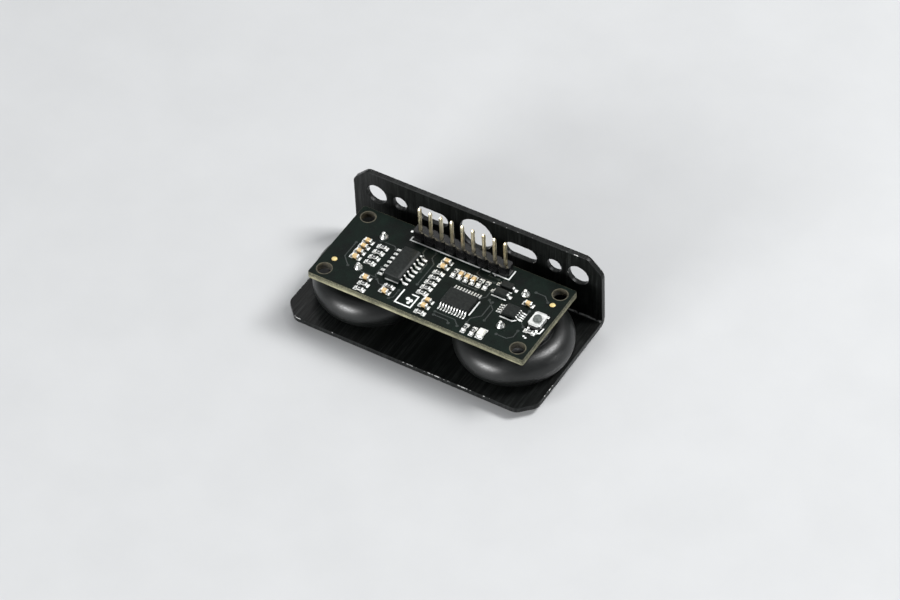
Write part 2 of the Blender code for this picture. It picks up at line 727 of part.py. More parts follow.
def make_switch():
    """A base with a well, a snap dome in it, a plunger through the cover, and the cover."""
    root = empty("switch", (*SWITCH_PLACE, 0.0))
    root.parent = BOARD
    base_top = SEAT + SWITCH_BASE_HEIGHT
    well_floor = base_top - SWITCH_WELL_DEPTH

    base = mesh_object("switch_base", box_mesh(
        "switch_base", (*SWITCH_SIZE, SWITCH_BASE_HEIGHT),
        (0.0, 0.0, SEAT + SWITCH_BASE_HEIGHT / 2.0)))
    well = cutter("switch_well", cylinder_mesh("switch_well", SWITCH_WELL_RADIUS, well_floor,
                                               base_top + OVERSHOOT, SMALL_ROUND_STEPS))
    well.parent = root
    combine(base, well, "DIFFERENCE")
    finish(base, "switch_plastic", root, smooth=False)

    dome_radius = SWITCH_WELL_RADIUS - FIT_GAP
    low = well_floor + FIT_GAP
    rise = SWITCH_DOME_RISE
    thick = SWITCH_DOME_THICKNESS
    dome = turned("switch_dome", [
        (0.0, low + rise),
        (dome_radius * 0.5, low + rise * 0.8),
        (dome_radius, low + thick * 0.6),
        (dome_radius, low),
        (dome_radius * 0.5, low + rise * 0.8 - thick),
        (0.0, low + rise - thick),
    ], False, SMALL_ROUND_STEPS)
    finish(dome, "switch_metal", root, smooth=False)

    cover_low = base_top + FIT_GAP
    cover_top = cover_low + SWITCH_COVER_THICKNESS
    cover = mesh_object("switch_cover", box_mesh(
        "switch_cover", (*SWITCH_SIZE, SWITCH_COVER_THICKNESS),
        (0.0, 0.0, cover_low + SWITCH_COVER_THICKNESS / 2.0)))
    hole = cutter("cover_hole", cylinder_mesh(
        "cover_hole", PLUNGER_RADIUS + FIT_GAP, cover_low - OVERSHOOT, cover_top + OVERSHOOT,
        SMALL_ROUND_STEPS))
    hole.parent = root
    combine(cover, hole, "DIFFERENCE")
    finish(cover, "switch_metal", root, smooth=False)

    # The flange sits under the cover; the stem passes through it and stands proud
    flange_top = base_top - FIT_GAP
    slide = empty("button_press_axis", (0.0, 0.0, cover_top))
    slide.parent = root
    plunger = turned("switch_plunger", [
        (0.0, PLUNGER_PROUD),
        (PLUNGER_RADIUS - PLUNGER_EDGE, PLUNGER_PROUD),
        (PLUNGER_RADIUS, PLUNGER_PROUD - PLUNGER_EDGE),
        (PLUNGER_RADIUS, flange_top - cover_top),
        (PLUNGER_FLANGE_RADIUS, flange_top - cover_top),
        (PLUNGER_FLANGE_RADIUS, flange_top - cover_top - PLUNGER_FLANGE),
        (0.0, flange_top - cover_top - PLUNGER_FLANGE),
    ], False, SMALL_ROUND_STEPS)
    finish(plunger, "plunger_plastic", slide, smooth=False)
    room = (flange_top - PLUNGER_FLANGE) - (low + rise)
    assert room > PLUNGER_TRAVEL, "the plunger must clear the dome over its whole travel"


# ---- Assembly ----------------------------------------------------------------------------------

clear_scene()
PARTS = new_collection("ultrasonic_distance_sensor")
CUTTERS = new_collection("cutters")
MATERIALS = make_materials()
BOARD = empty("board_frame", (*BOARD_CENTRE, BOARD_TOP))

make_bracket()
make_grommets()
make_board()
make_transducer(-1, "left")
make_transducer(1, "right")
make_header()
make_packages()
make_led()
make_chips()
make_switch()
bpy.context.view_layer.update()
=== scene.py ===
"""The looks of the ultrasonic distance sensor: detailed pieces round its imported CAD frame.

Lengths are in millimetres, and piece() turns each finished mesh into metres. Places on the
circuit board are measured from the middle of its top face.
"""

import math

import bmesh
import bpy
from mathutils import Matrix, Quaternion, Vector


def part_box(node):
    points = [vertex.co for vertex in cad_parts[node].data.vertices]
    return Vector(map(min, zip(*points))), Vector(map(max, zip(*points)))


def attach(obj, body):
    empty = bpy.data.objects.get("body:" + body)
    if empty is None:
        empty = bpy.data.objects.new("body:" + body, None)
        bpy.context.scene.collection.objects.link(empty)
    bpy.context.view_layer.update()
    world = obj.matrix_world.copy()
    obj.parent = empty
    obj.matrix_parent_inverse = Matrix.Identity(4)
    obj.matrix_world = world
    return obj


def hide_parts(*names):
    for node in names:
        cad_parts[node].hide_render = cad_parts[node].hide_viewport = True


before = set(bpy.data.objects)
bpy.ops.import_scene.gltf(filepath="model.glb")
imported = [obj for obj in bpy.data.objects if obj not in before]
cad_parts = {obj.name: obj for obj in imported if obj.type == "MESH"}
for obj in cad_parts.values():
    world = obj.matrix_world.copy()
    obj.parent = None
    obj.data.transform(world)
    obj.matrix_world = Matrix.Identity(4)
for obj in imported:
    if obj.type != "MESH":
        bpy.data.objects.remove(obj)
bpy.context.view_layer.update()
MM = 0.001
SENSOR = "sensor"
BUTTON = "button"
# Edges that turn by more degrees than this stay sharp
SHARP_ANGLE = 40


def cad(node):
    """Lowest and highest corner of a CAD node, in millimetres."""
    low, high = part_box(node)
    return low / MM, high / MM


def block(node):
    """Lowest corner, highest corner, middle and half size of a CAD node."""
    low, high = cad(node)
    return low, high, (low + high) / 2, (high - low) / 2


def middle(node):
    return block(node)[2]


def moved(x, y, z=0):
    return Matrix.Translation((x, y, z))


def rotated(degrees):
    """A turn about Z."""
    return Matrix.Rotation(math.radians(degrees), 4, "Z")


BOARD_LOW, BOARD_HIGH, BOARD_MIDDLE, BOARD_HALF = block("pcb")
BOARD = Vector((BOARD_MIDDLE.x, BOARD_MIDDLE.y, BOARD_HIGH.z))
ON_BOARD = Matrix.Translation(BOARD)


# The signs of a rectangle's four corners
CORNERS = ((-1, -1), (-1, 1), (1, -1), (1, 1))


def on_board(x, y):
    """A place on the board's top face."""
    return ON_BOARD @ moved(x, y)


# Bracket
SHEET = 1.2
BEND_INNER_RADIUS = 0.6
BEND_STEPS = 12
BRACKET_CHAMFER = 3.4
BRACKET_RIM = 0.13
WALL_SLOPE = 0.08
FLAT_SLOPE = 0.97
BASE_HOLE_RADIUS = 10.0
UPRIGHT_HOLE_HEIGHT = 13.6
CENTRE_HOLE_RADIUS = 4.0
SLOT_X = 10.6
SLOT_SIZE = (7.6, 3.6)
SIDE_HOLES = ((18.5, 1.7), (24.2, 2.4))

# Board
BOARD_EDGE = 0.06
BOARD_CORNER = 0.4
MOUNT_HOLE_PLACE = (22.95, 8.5)
MOUNT_HOLE_RADIUS = 1.5
PIN_HOLE_RADIUS = 0.52
PAD_LOW = 0.002
PAD_HEIGHT = 0.035
PRINT_LOW = 0.003
SILK_HEIGHT = 0.02
TRACK_HEIGHT = 0.022
SEAT = 0.05
UNDERSIDE = BOARD_HIGH.z - BOARD_LOW.z + 0.015

# Transducers
CAN_WALL = 0.5
CAN_EDGE = 0.5
MOUTH_RADIUS = 6.6
WEAVE_PITCH = 0.46
WIRE_RADIUS = 0.075
PIN_TIP = 0.3

# Leads of the switch: their thickness
LEG = 0.14

# Header
PITCH = 2.54
HEADER_PINS = 9
PIN_HALF = 0.32


# ---- Shapes ----

def arc(centre, radius, start, end, steps):
    """Points along an arc, from one angle to another in degrees."""
    points = []
    for i in range(steps + 1):
        angle = math.radians(start + (end - start) * i / steps)
        points.append((centre[0] + radius * math.cos(angle), centre[1] + radius * math.sin(angle)))
    return points


def circle(radius, steps=64, centre=(0.0, 0.0)):
    return arc(centre, radius, 0, 360 - 360 / steps, steps - 1)


def rounded_rectangle(half_x, half_y, radius, steps=3):
    x = half_x - radius
    y = half_y - radius
    points = []
    for (cx, cy), start in (((x, y), 0), ((-x, y), 90), ((-x, -y), 180), ((x, -y), 270)):
        points += arc((cx, cy), radius, start, start + 90, steps)
    return points


def cut_corner_rectangle(half_x, half_y, cut):
    x = half_x - cut
    y = half_y - cut
    return [(-x, -half_y), (x, -half_y), (half_x, -y), (half_x, y), (x, half_y), (-x, half_y),
            (-half_x, y), (-half_x, -y)]


def loft(bm, sections, place=Matrix(), material=0, closed=False):
    """Faces between outlines of equal length, with caps on the first and the last."""
    rows = []
    for section in sections:
        rows.append([bm.verts.new(place @ Vector(point)) for point in section])
    pairs = list(zip(rows, rows[1:]))
    if closed:
        pairs.append((rows[-1], rows[0]))
    loops = []
    count = len(rows[0])
    for low, high in pairs:
        for i in range(count):
            j = (i + 1) % count
            loops.append((low[i], low[j], high[j], high[i]))
    if not closed:
        loops += [rows[0][::-1], rows[-1]]
    for corners in loops:
        bm.faces.new(corners).material_index = material


def stack(bm, levels, place=Matrix(), material=0, steps=3):
    """A solid of rounded rectangles one above another: (height, half x, half y, corner)."""
    sections = []
    for z, half_x, half_y, corner in levels:
        sections.append([(x, y, z) for x, y in rounded_rectangle(half_x, half_y, corner, steps)])
    loft(bm, sections, place, material)


def rounded_levels(half_x, half_y, low, high, edge):
    """Levels of a block whose edges are all rounded alike."""
    up = []
    down = []
    for angle in (0, 30, 60, 90):
        inset = edge * (1 - math.sin(math.radians(angle)))
        rise = edge * (1 - math.cos(math.radians(angle)))
        section = (half_x - inset, half_y - inset, edge * 1.01)
        up.append((low + rise, *section))
        down.append((high - rise, *section))
    return up + down[::-1]


def lathe(bm, profile, place, steps, closed=False):
    """A solid turned about Z from (radius, height) points."""
    sections = []
    for radius, height in profile:
        sections.append([(x, y, height) for x, y in circle(max(radius, 1e-5), steps)])
    loft(bm, sections, place, closed=closed)


def rounded_turn(before, corner, after, radius, steps):
    """Points along a smooth turn at a corner."""
    start = corner + (before - corner).normalized() * radius
    end = corner + (after - corner).normalized() * radius
    points = []
    for i in range(steps + 1):
        t = i / steps
        points.append(start * (1 - t) ** 2 + corner * 2 * t * (1 - t) + end * t ** 2)
    return points


def rounded_path(points, radius, steps=3):
    """A path whose inner corners are rounded."""
    points = [Vector(p) for p in points]
    path = [points[0]]
    for before, corner, after in zip(points, points[1:], points[2:]):
        path += rounded_turn(before, corner, after, radius, steps)
    return path + [points[-1]]


def rounded_corners(outline, radius, steps=5):
    """A closed outline whose corners are rounded."""
    points = [Vector(p) for p in outline]
    made = []
    for before, corner, after in zip(points[-1:] + points, points, points[1:] + points[:1]):
        made += rounded_turn(before, corner, after, radius, steps)
    return [tuple(p) for p in made]


def ribbon(bm, path, width, thickness, place):
    """A strip along a path in X and Z, its width along Y and its long edges eased."""
    ease = thickness * 0.22
    half_w = width / 2
    half_t = thickness / 2
    section = [(half_w, half_t - ease), (half_w - ease, half_t), (ease - half_w, half_t),
               (-half_w, half_t - ease), (-half_w, ease - half_t), (ease - half_w, -half_t),
               (half_w - ease, -half_t), (half_w, ease - half_t)]
    sections = []
    for i, point in enumerate(path):
        along = path[min(i + 1, len(path) - 1)] - path[max(i - 1, 0)]
        normal = Vector((-along.z, 0, along.x)).normalized()
        sections.append([point + Vector((0, y, 0)) + normal * t for y, t in section])
    loft(bm, sections, place)


def stroke(bm, points, width, low, high):
    """A flat printed line with round ends along points in X and Y."""
    points = [Vector(p) for p in points]
    half = width / 2
    left = []
    right = []
    for i, point in enumerate(points):
        before = (point - points[i - 1]).normalized() if i > 0 else None
        after = (points[i + 1] - point).normalized() if i < len(points) - 1 else None
        along = ((before or after) + (after or before)).normalized()
        side = Vector((-along.y, along.x))
        reach = half / max(0.35, along.dot(after or before))
        left.append(point + side * reach)
        right.append(point - side * reach)
    first = points[1] - points[0]
    last = points[-1] - points[-2]
    start_turn = math.degrees(math.atan2(first.y, first.x))
    end_turn = math.degrees(math.atan2(last.y, last.x))
    outline = right + arc(points[-1], half, end_turn - 60, end_turn + 60, 4)
    outline += left[::-1] + arc(points[0], half, start_turn + 120, start_turn + 240, 4)
    loft(bm, [[(x, y, z) for x, y in outline] for z in (low, high)], ON_BOARD)


def fillet(reach, width, height, place):
    """Solder that rises from a pad, X = reach, to a wall at X = 0."""
    sections = []
    for i in range(7):
        x = i / 6
        rise = height * (1 - x) ** 2.3 + 0.03
        narrow = 1 - 0.3 * x ** 3
        row = []
        for j in range(9):
            y = j / 4 - 1
            row.append((x * reach, y * narrow * width / 2, rise * (1 - abs(y) ** 3.5)))
        sections.append(row)
    loft(SOLDER_MESH, sections, place)


def linked(name, data):
    """A new object in the scene."""
    obj = bpy.data.objects.new(name, data)
    bpy.context.scene.collection.objects.link(obj)
    return obj


def evaluated_mesh(obj):
    bpy.context.view_layer.update()
    graph = bpy.context.evaluated_depsgraph_get()
    return bpy.data.meshes.new_from_object(obj.evaluated_get(graph))


def mesh_in_metres(name, bm):
    """A mesh from a shape in millimetres, with its faces turned outward."""
    bmesh.ops.recalc_face_normals(bm, faces=bm.faces)
    bm.transform(Matrix.Scale(MM, 4))
    mesh = bpy.data.meshes.new(name)
    bm.to_mesh(mesh)
    bm.free()
    return mesh


def plate(outline, holes, thickness, edge):
    """A flat plate with holes, centred on Z = 0, whose rims are all rounded."""
    curve = bpy.data.curves.new("plate", "CURVE")
    curve.dimensions = "2D"
    curve.fill_mode = "BOTH"
    curve.extrude = thickness / 2 - edge
    curve.bevel_depth = edge
    curve.bevel_resolution = 1
    curve.offset = -edge
    for loop in (outline, *holes):
        spline = curve.splines.new("POLY")
        spline.points.add(len(loop) - 1)
        for point, (x, y) in zip(spline.points, loop):
            point.co = (x, y, 0, 1)
        spline.use_cyclic_u = True
    obj = linked("plate", curve)
    bm = bmesh.new()
    bm.from_mesh(evaluated_mesh(obj))
    bpy.data.objects.remove(obj)
    bmesh.ops.remove_doubles(bm, verts=bm.verts, dist=1e-4)
    bm.normal_update()
    return bm


def carve(obj, bm):
    """Cuts a shape in millimetres out of a piece, and keeps the result as its mesh."""
    tool = linked("tool", mesh_in_metres("tool", bm))
    cut = obj.modifiers.new("Cut", "BOOLEAN")
    cut.operation = "DIFFERENCE"
    cut.object = tool
    result = evaluated_mesh(obj)
    obj.modifiers.remove(cut)
    obj.data = result
    bpy.data.objects.remove(tool)
    shade(obj)


def shade(obj):
    obj.data.shade_smooth()
    obj.data.set_sharp_from_angle(angle=math.radians(SHARP_ANGLE))


def piece(name, bm, finishes, replaces=(), body=SENSOR, weighted=False):
    """Turns a mesh in millimetres into a named piece that rides on a CAD body."""
    bmesh.ops.remove_doubles(bm, verts=bm.verts, dist=1e-4)
    bmesh.ops.dissolve_degenerate(bm, edges=bm.edges, dist=1e-4)
    mesh = mesh_in_metres(name, bm)
    for finish in finishes:
        mesh.materials.append(finish)
    obj = linked(name, mesh)
    shade(obj)
    if weighted:
        obj.modifiers.new("Normals", "WEIGHTED_NORMAL").keep_sharp = True
    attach(obj, body)
    if replaces:
        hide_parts(*replaces)
    return obj


def carry(node, finish):
    """Gives a CAD node that stays in the model its finish."""
    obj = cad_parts[node]
    if not obj.material_slots:
        obj.data.materials.append(finish)
    for material_slot in obj.material_slots:
        material_slot.material = finish


# ---- Finishes ----

class Finish:
    """A procedural material: a Principled shader and the nodes that vary it."""

    def __init__(self, name, metallic=0.0, specular=0.5, coat=0.0, coat_roughness=0.1):
        self.material = bpy.data.materials.new(name)
        self.material.use_nodes = True
        self.tree = self.material.node_tree
        self.shader = self.tree.nodes["Principled BSDF"]
        self.shader.inputs["Metallic"].default_value = metallic
        self.shader.inputs["Specular IOR Level"].default_value = specular
        self.shader.inputs["Coat Weight"].default_value = coat
        self.shader.inputs["Coat Roughness"].default_value = coat_roughness
        self.place = self.node("ShaderNodeTexCoord").outputs["Object"]

    def node(self, kind, links=(), **settings):
        made = self.tree.nodes.new(kind)
        for name, value in settings.items():
            setattr(made, name, value)
        for name, source in dict(links).items():
            socket = made.inputs[name]
            if isinstance(source, bpy.types.NodeSocket):
                self.tree.links.new(source, socket)
            else:
                socket.default_value = (*source, 1) if socket.type == "RGBA" else source
        return made

    def scaled(self, stretch=(1, 1, 1)):
        """The place in millimetres, stretched along each axis."""
        return self.node("ShaderNodeMapping", {
            "Vector": self.place, "Scale": [s / MM for s in stretch]}).outputs["Vector"]

    def along(self, axis):
        return self.node("ShaderNodeSeparateXYZ", {"Vector": self.place}).outputs[axis]

    def noise(self, scale, detail=3.0, stretch=(1, 1, 1), roughness=0.55):
        """Noise whose scale counts features to the millimetre."""
        return self.node("ShaderNodeTexNoise", {
            "Vector": self.scaled(stretch), "Scale": scale, "Detail": detail,
            "Roughness": roughness}).outputs["Fac"]

    def joined(self, operation, *values):
        """Two or more values, added or multiplied in turn."""
        result = values[0]
        for value in values[1:]:
            result = self.node("ShaderNodeMath", {0: result, 1: value},
                               operation=operation).outputs["Value"]
        return result

    def spread(self, value, low, high, bottom=0.35, top=0.65):
        """A value from noise, stretched to run from low to high."""
        return self.node("ShaderNodeMapRange", {
            "Value": value, "From Min": bottom, "From Max": top, "To Min": low,
            "To Max": high}).outputs["Result"]

    def blend(self, value, first, second, bottom=0.35, top=0.65):
        """A colour between two, as a value runs from bottom to top."""
        ramp = self.node("ShaderNodeValToRGB", {"Fac": value})
        ramp.color_ramp.elements[0].position = bottom
        ramp.color_ramp.elements[0].color = (*first, 1)
        ramp.color_ramp.elements[1].position = top
        ramp.color_ramp.elements[1].color = (*second, 1)
        return ramp.outputs["Color"]

    def over(self, amount, under, top):
        """One colour over another, both colours or sockets."""
        return self.node("ShaderNodeMix", {0: amount, 6: under, 7: top},
                         data_type="RGBA").outputs[2]

    def colour(self, socket):
        self.tree.links.new(socket, self.shader.inputs["Base Color"])

    def rough(self, socket):
        self.tree.links.new(socket, self.shader.inputs["Roughness"])

    def bump(self, height, depth):
        """Relief of a depth in millimetres."""
        made = self.node("ShaderNodeBump", {"Height": height, "Distance": depth * MM,
                                            "Strength": 1.0})
        self.tree.links.new(made.outputs["Normal"], self.shader.inputs["Normal"])


def surface(name, dark, light, rough, grain=2.0, fine=14.0, depth=0.004, stretch=(1, 1, 1), **kind):
    """A finish that varies in colour at one scale, and in gloss and relief at a finer one."""
    made = Finish(name, **kind)
    broad = made.noise(grain, 4.0, stretch)
    close = made.noise(fine, 3.0, stretch)
    made.colour(made.blend(broad, dark, light))
    made.rough(made.spread(close, rough[0], rough[1]))
    made.bump(close, depth)
    return made.material


def painted_fold_highlight(made):
    """A broken line of painted highlight down the inside of the bracket's fold, strongest to the
    right.
    """
    low, high = cad("bracket")
    corner = BEND_INNER_RADIUS * math.sqrt(0.5)
    level = (low.z + BEND_INNER_RADIUS + SHEET - corner) * MM
    depth = (high.y - BEND_INNER_RADIUS - SHEET + corner) * MM
    flat = made.node("ShaderNodeVectorMath", {0: made.place, 1: (0, 1, 1)}, operation="MULTIPLY")
    away = made.node("ShaderNodeVectorMath", {0: flat.outputs["Vector"], 1: (0, depth, level)},
                     operation="DISTANCE")
    line = made.spread(away.outputs["Value"], 1.0, 0.0, 0.1 * MM, 0.26 * MM)
    right = made.spread(made.along("X"), 0.0, 1.0, 8.0 * MM, 26.0 * MM)
    broken = made.spread(made.noise(0.8, 4.0), 0.0, 1.0, 0.42, 0.6)
    return made.joined("MULTIPLY", line, broken, right)


def brushed_black():
    """Black anodised sheet, brushed along its developed length."""
    made = Finish("anodised_black", specular=0.22)
    streaks = made.noise(1.0, 6.0, (4.5, 0.1, 0.1), 0.72)
    patches = made.noise(0.14, 4.0)
    base = made.blend(streaks, (0.0012, 0.0015, 0.0014), (0.036, 0.04, 0.038), 0.48, 0.72)
    base = made.over(made.spread(patches, 0.0, 0.6), base, (0.0035, 0.0042, 0.0039))
    # The pale line mixed in here is a painted highlight down the inside of the fold, not wear
    made.colour(made.over(painted_fold_highlight(made), base, (0.4, 0.41, 0.4)))
    made.rough(made.spread(streaks, 0.5, 0.26))
    made.bump(streaks, 0.03)
    return made.material


def worn_black():
    """The sheet's rims, where handling has taken the black off in short dashes."""
    made = Finish("anodised_rim", metallic=0.7)
    chips = made.noise(1.1, 6.0, (1.0, 1.0, 1.0), 0.62)
    zones = made.noise(0.16, 2.0)
    reach = made.spread(made.along("Z"), 1.0, 0.88, 3.0 * MM, 9.0 * MM)
    wear = made.joined("MULTIPLY", chips, zones, reach)
    amount = made.spread(wear, 0.0, 1.0, 0.32, 0.345)
    made.colour(made.over(amount, (0.02, 0.0215, 0.021), (0.66, 0.66, 0.65)))
    made.rough(made.spread(chips, 0.28, 0.42))
    made.bump(chips, 0.01)
    return made.material


def solder_mask():
    """Black solder mask: a faint weave of the glass cloth below, and soft mottling."""
    made = Finish("solder_mask", specular=0.1)
    mottle = made.noise(0.3, 6.0, roughness=0.65)
    speck = made.noise(7.0, 3.0)
    base = made.blend(mottle, (0.0005, 0.0022, 0.0015), (0.0052, 0.0112, 0.0082))
    made.colour(made.over(made.spread(speck, 0.0, 0.4, 0.56, 0.75), base, (0.024, 0.032, 0.027)))
    made.rough(made.spread(mottle, 0.34, 0.54))
    weave = []
    for axis in ("X", "Y"):
        wave = made.node("ShaderNodeTexWave", {"Vector": made.scaled(), "Scale": 0.62,
                                               "Distortion": 0.6, "Detail": 1.0},
                         bands_direction=axis)
        weave.append(wave.outputs["Fac"])
    made.bump(made.joined("ADD", *weave, speck), 0.0035)
    return made.material


def laminate():
    """The board's cut edge: plies of glass cloth in pale resin, painted lighter towards the bottom
    as a painted highlight and darker towards the top as painted shade.
    """
    made = Finish("laminate", specular=0.4)
    plies = made.noise(1.0, 4.0, (0.12, 0.12, 3.4), 0.6)
    fibres = made.noise(4.0, 3.0, (1.0, 1.0, 0.6))
    height = made.along("Z")
    low, high = BOARD_LOW.z * MM, BOARD_HIGH.z * MM
    patches = made.noise(0.5, 4.0, (0.5, 0.5, 0.1), 0.65)
    pale = made.blend(plies, (0.13, 0.128, 0.07), (0.5, 0.48, 0.32))
    dark = made.blend(plies, (0.03, 0.031, 0.017), (0.11, 0.108, 0.062))
    # Painted light and shade: the lower part of the edge takes the lit plies, the top takes the
    # shaded ones
    base = made.over(made.spread(height, 0.0, 1.0, low + 0.35 * MM, high - 0.55 * MM), pale, dark)
    base = made.over(made.spread(patches, 0.0, 0.75), base, (0.035, 0.035, 0.02))
    made.colour(made.over(made.spread(fibres, 0.0, 0.5, 0.5, 0.75), base, (0.42, 0.41, 0.29)))
    made.rough(made.spread(fibres, 0.5, 0.75))
    made.bump(plies, 0.03)
    return made.material


def tin(name, dark, light, rough):
    return surface(name, dark, light, rough, grain=1.6, fine=4.0, depth=0.006, metallic=1.0)


def ringed_aluminium():
    """Drawn aluminium with fine rings round it, which run level on the can."""
    made = Finish("can_aluminium", metallic=1.0)
    rings = made.noise(1.0, 4.0, (0.3, 0.3, 16.0))
    marks = made.noise(1.3, 5.0)
    base = made.blend(rings, (0.5, 0.51, 0.52), (0.68, 0.69, 0.7))
    made.colour(made.over(made.spread(marks, 0.0, 0.4), base, (0.44, 0.45, 0.46)))
    made.rough(made.spread(rings, 0.24, 0.4))
    made.bump(rings, 0.006)
    return made.material


ANODISED = brushed_black()
RIM = worn_black()
RUBBER = surface("rubber", (0.0022, 0.0028, 0.0026), (0.0058, 0.0068, 0.0064), (0.3, 0.43),
                 grain=0.35, fine=4.0, depth=0.008, specular=0.52)
MASK = solder_mask()
TRACK = surface("masked_track", (0.009, 0.0135, 0.012), (0.022, 0.03, 0.027), (0.24, 0.36),
                grain=0.8, fine=6.0, specular=0.4)
LAMINATE = laminate()
BARE = surface("bare_laminate", (0.035, 0.032, 0.02), (0.1, 0.09, 0.055), (0.4, 0.6), grain=1.5,
               fine=8.0, depth=0.006)
BORE = surface("drilled_laminate", (0.014, 0.012, 0.007), (0.06, 0.052, 0.03), (0.5, 0.7),
               grain=2.5, fine=7.0, depth=0.02, stretch=(0.4, 0.4, 1.5))
SILK = surface("silk_white", (0.74, 0.76, 0.74), (0.93, 0.94, 0.92), (0.45, 0.65), grain=4.0,
               fine=10.0, depth=0.006)
TIN = tin("tin", (0.6, 0.61, 0.59), (0.9, 0.9, 0.88), (0.3, 0.48))
SOLDER = tin("solder", (0.66, 0.68, 0.65), (0.93, 0.94, 0.91), (0.22, 0.38))
GOLD = surface("gold_pad", (0.92, 0.7, 0.28), (0.99, 0.84, 0.45), (0.42, 0.55), fine=6.0,
               metallic=1.0)
PIN_GOLD = surface("gold_pin", (0.74, 0.64, 0.4), (0.98, 0.9, 0.68), (0.26, 0.4), grain=0.9,
                   fine=5.0, depth=0.002, stretch=(1, 1, 0.3), metallic=1.0)
CAN = ringed_aluminium()
WIRE = surface("screen_wire", (0.3, 0.3, 0.3), (0.52, 0.52, 0.51), (0.28, 0.45), grain=1.5,
               fine=9.0, depth=0.006, metallic=1.0)
HORN = surface("horn_aluminium", (0.5, 0.5, 0.51), (0.72, 0.72, 0.73), (0.25, 0.42), grain=0.8,
               fine=6.0, depth=0.01, metallic=1.0)
BRASS = surface("piezo_brass", (0.5, 0.38, 0.18), (0.74, 0.6, 0.33), (0.28, 0.42), metallic=1.0)
POTTING = surface("potting", (0.06, 0.06, 0.055), (0.13, 0.13, 0.12), (0.5, 0.75), depth=0.03)
HEADER = surface("header_plastic", (0.002, 0.002, 0.0022), (0.0065, 0.0065, 0.0068), (0.2, 0.34),
                 grain=1.5, fine=7.0, depth=0.005, specular=0.34)
EPOXY = surface("epoxy", (0.004, 0.0055, 0.005), (0.0125, 0.0155, 0.014), (0.42, 0.62),
                grain=1.6, fine=12.0, depth=0.01, specular=0.24)
CERAMIC = surface("ceramic_tan", (0.5, 0.33, 0.13), (0.8, 0.6, 0.33), (0.3, 0.46), grain=2.4,
                  fine=10.0, depth=0.006)
GLAZE = surface("resistor_glaze", (0.008, 0.01, 0.01), (0.045, 0.05, 0.048), (0.16, 0.3),
                grain=1.6, fine=5.0, depth=0.008)
ALUMINA = surface("alumina", (0.6, 0.6, 0.57), (0.8, 0.8, 0.77), (0.5, 0.7), grain=4.0)
SWITCH_METAL = surface("switch_metal", (0.74, 0.75, 0.73), (0.96, 0.96, 0.94), (0.36, 0.5),
                       grain=1.2, fine=6.0, metallic=1.0)
SWITCH_BASE = surface("switch_base", (0.012, 0.012, 0.012), (0.028, 0.028, 0.028), (0.4, 0.55))
PLUNGER = surface("plunger", (0.075, 0.085, 0.08), (0.15, 0.165, 0.155), (0.32, 0.46),
                  grain=1.6, fine=8.0, depth=0.006)
LED_BODY = surface("led_body", (0.78, 0.79, 0.74), (0.93, 0.94, 0.9), (0.3, 0.5), grain=3.0)
LED_LENS = surface("led_lens", (0.78, 0.79, 0.68), (0.93, 0.94, 0.86), (0.08, 0.2), grain=1.5,
                   coat=0.5)


# ---- Bracket and grommets ----

def make_bracket():
    """The sheet is laid out flat with its rims rounded, then bent up at the back."""
    low, high, centre, half_size = block("bracket")
    half = half_size.x
    outer = BEND_INNER_RADIUS + SHEET
    run = high.y - outer - low.y
    bend = math.pi / 2 * (outer - SHEET / 2)
    rise = high.z - low.z - outer
    end = run + bend + rise
    outline = cut_corner_rectangle(half, end / 2, BRACKET_CHAMFER)
    outline = [(x, y + end / 2) for x, y in rounded_corners(outline, 0.9)]

    holes = []
    for side in ("left", "right"):
        place = middle("transducer_" + side + "_can")
        holes.append(circle(BASE_HOLE_RADIUS, 128, (place.x - centre.x, place.y - low.y)))
    level = run + bend + UPRIGHT_HOLE_HEIGHT - (low.z + outer)
    holes.append(circle(CENTRE_HOLE_RADIUS, 72, (0, level)))
    length, width = SLOT_SIZE
    for side in (-1, 1):
        slot = arc((side * SLOT_X + (length - width) / 2, level), width / 2, -90, 90, 20)
        slot += arc((side * SLOT_X - (length - width) / 2, level), width / 2, 90, 270, 20)
        holes.append(slot)
        for x, radius in SIDE_HOLES:
            holes.append(circle(radius, 48, (side * x, level)))

    # The rounded rims take the worn finish, and the flat faces and the holes' walls stay black
    bm = plate(outline, holes, SHEET, BRACKET_RIM)
    for face in bm.faces:
        face.material_index = 1 if WALL_SLOPE < abs(face.normal.z) < FLAT_SLOPE else 0
    for i in range(BEND_STEPS + 1):
        geometry = list(bm.verts) + list(bm.edges) + list(bm.faces)
        bmesh.ops.bisect_plane(bm, geom=geometry, dist=1e-5,
                               plane_co=(0, run + bend * i / BEND_STEPS, 0), plane_no=(0, 1, 0))
    for vert in bm.verts:
        along = vert.co.y
        depth = vert.co.z + SHEET / 2
        turn = min(max(along - run, 0) / bend, 1) * math.pi / 2
        radius = outer - depth
        y = high.y - outer + radius * math.sin(turn) + min(along - run, 0)
        z = low.z + outer - radius * math.cos(turn) + max(along - run - bend, 0)
        vert.co = (vert.co.x + centre.x, y, z)
    piece("bracket_sheet", bm, (ANODISED, RIM), ("bracket",), weighted=True)


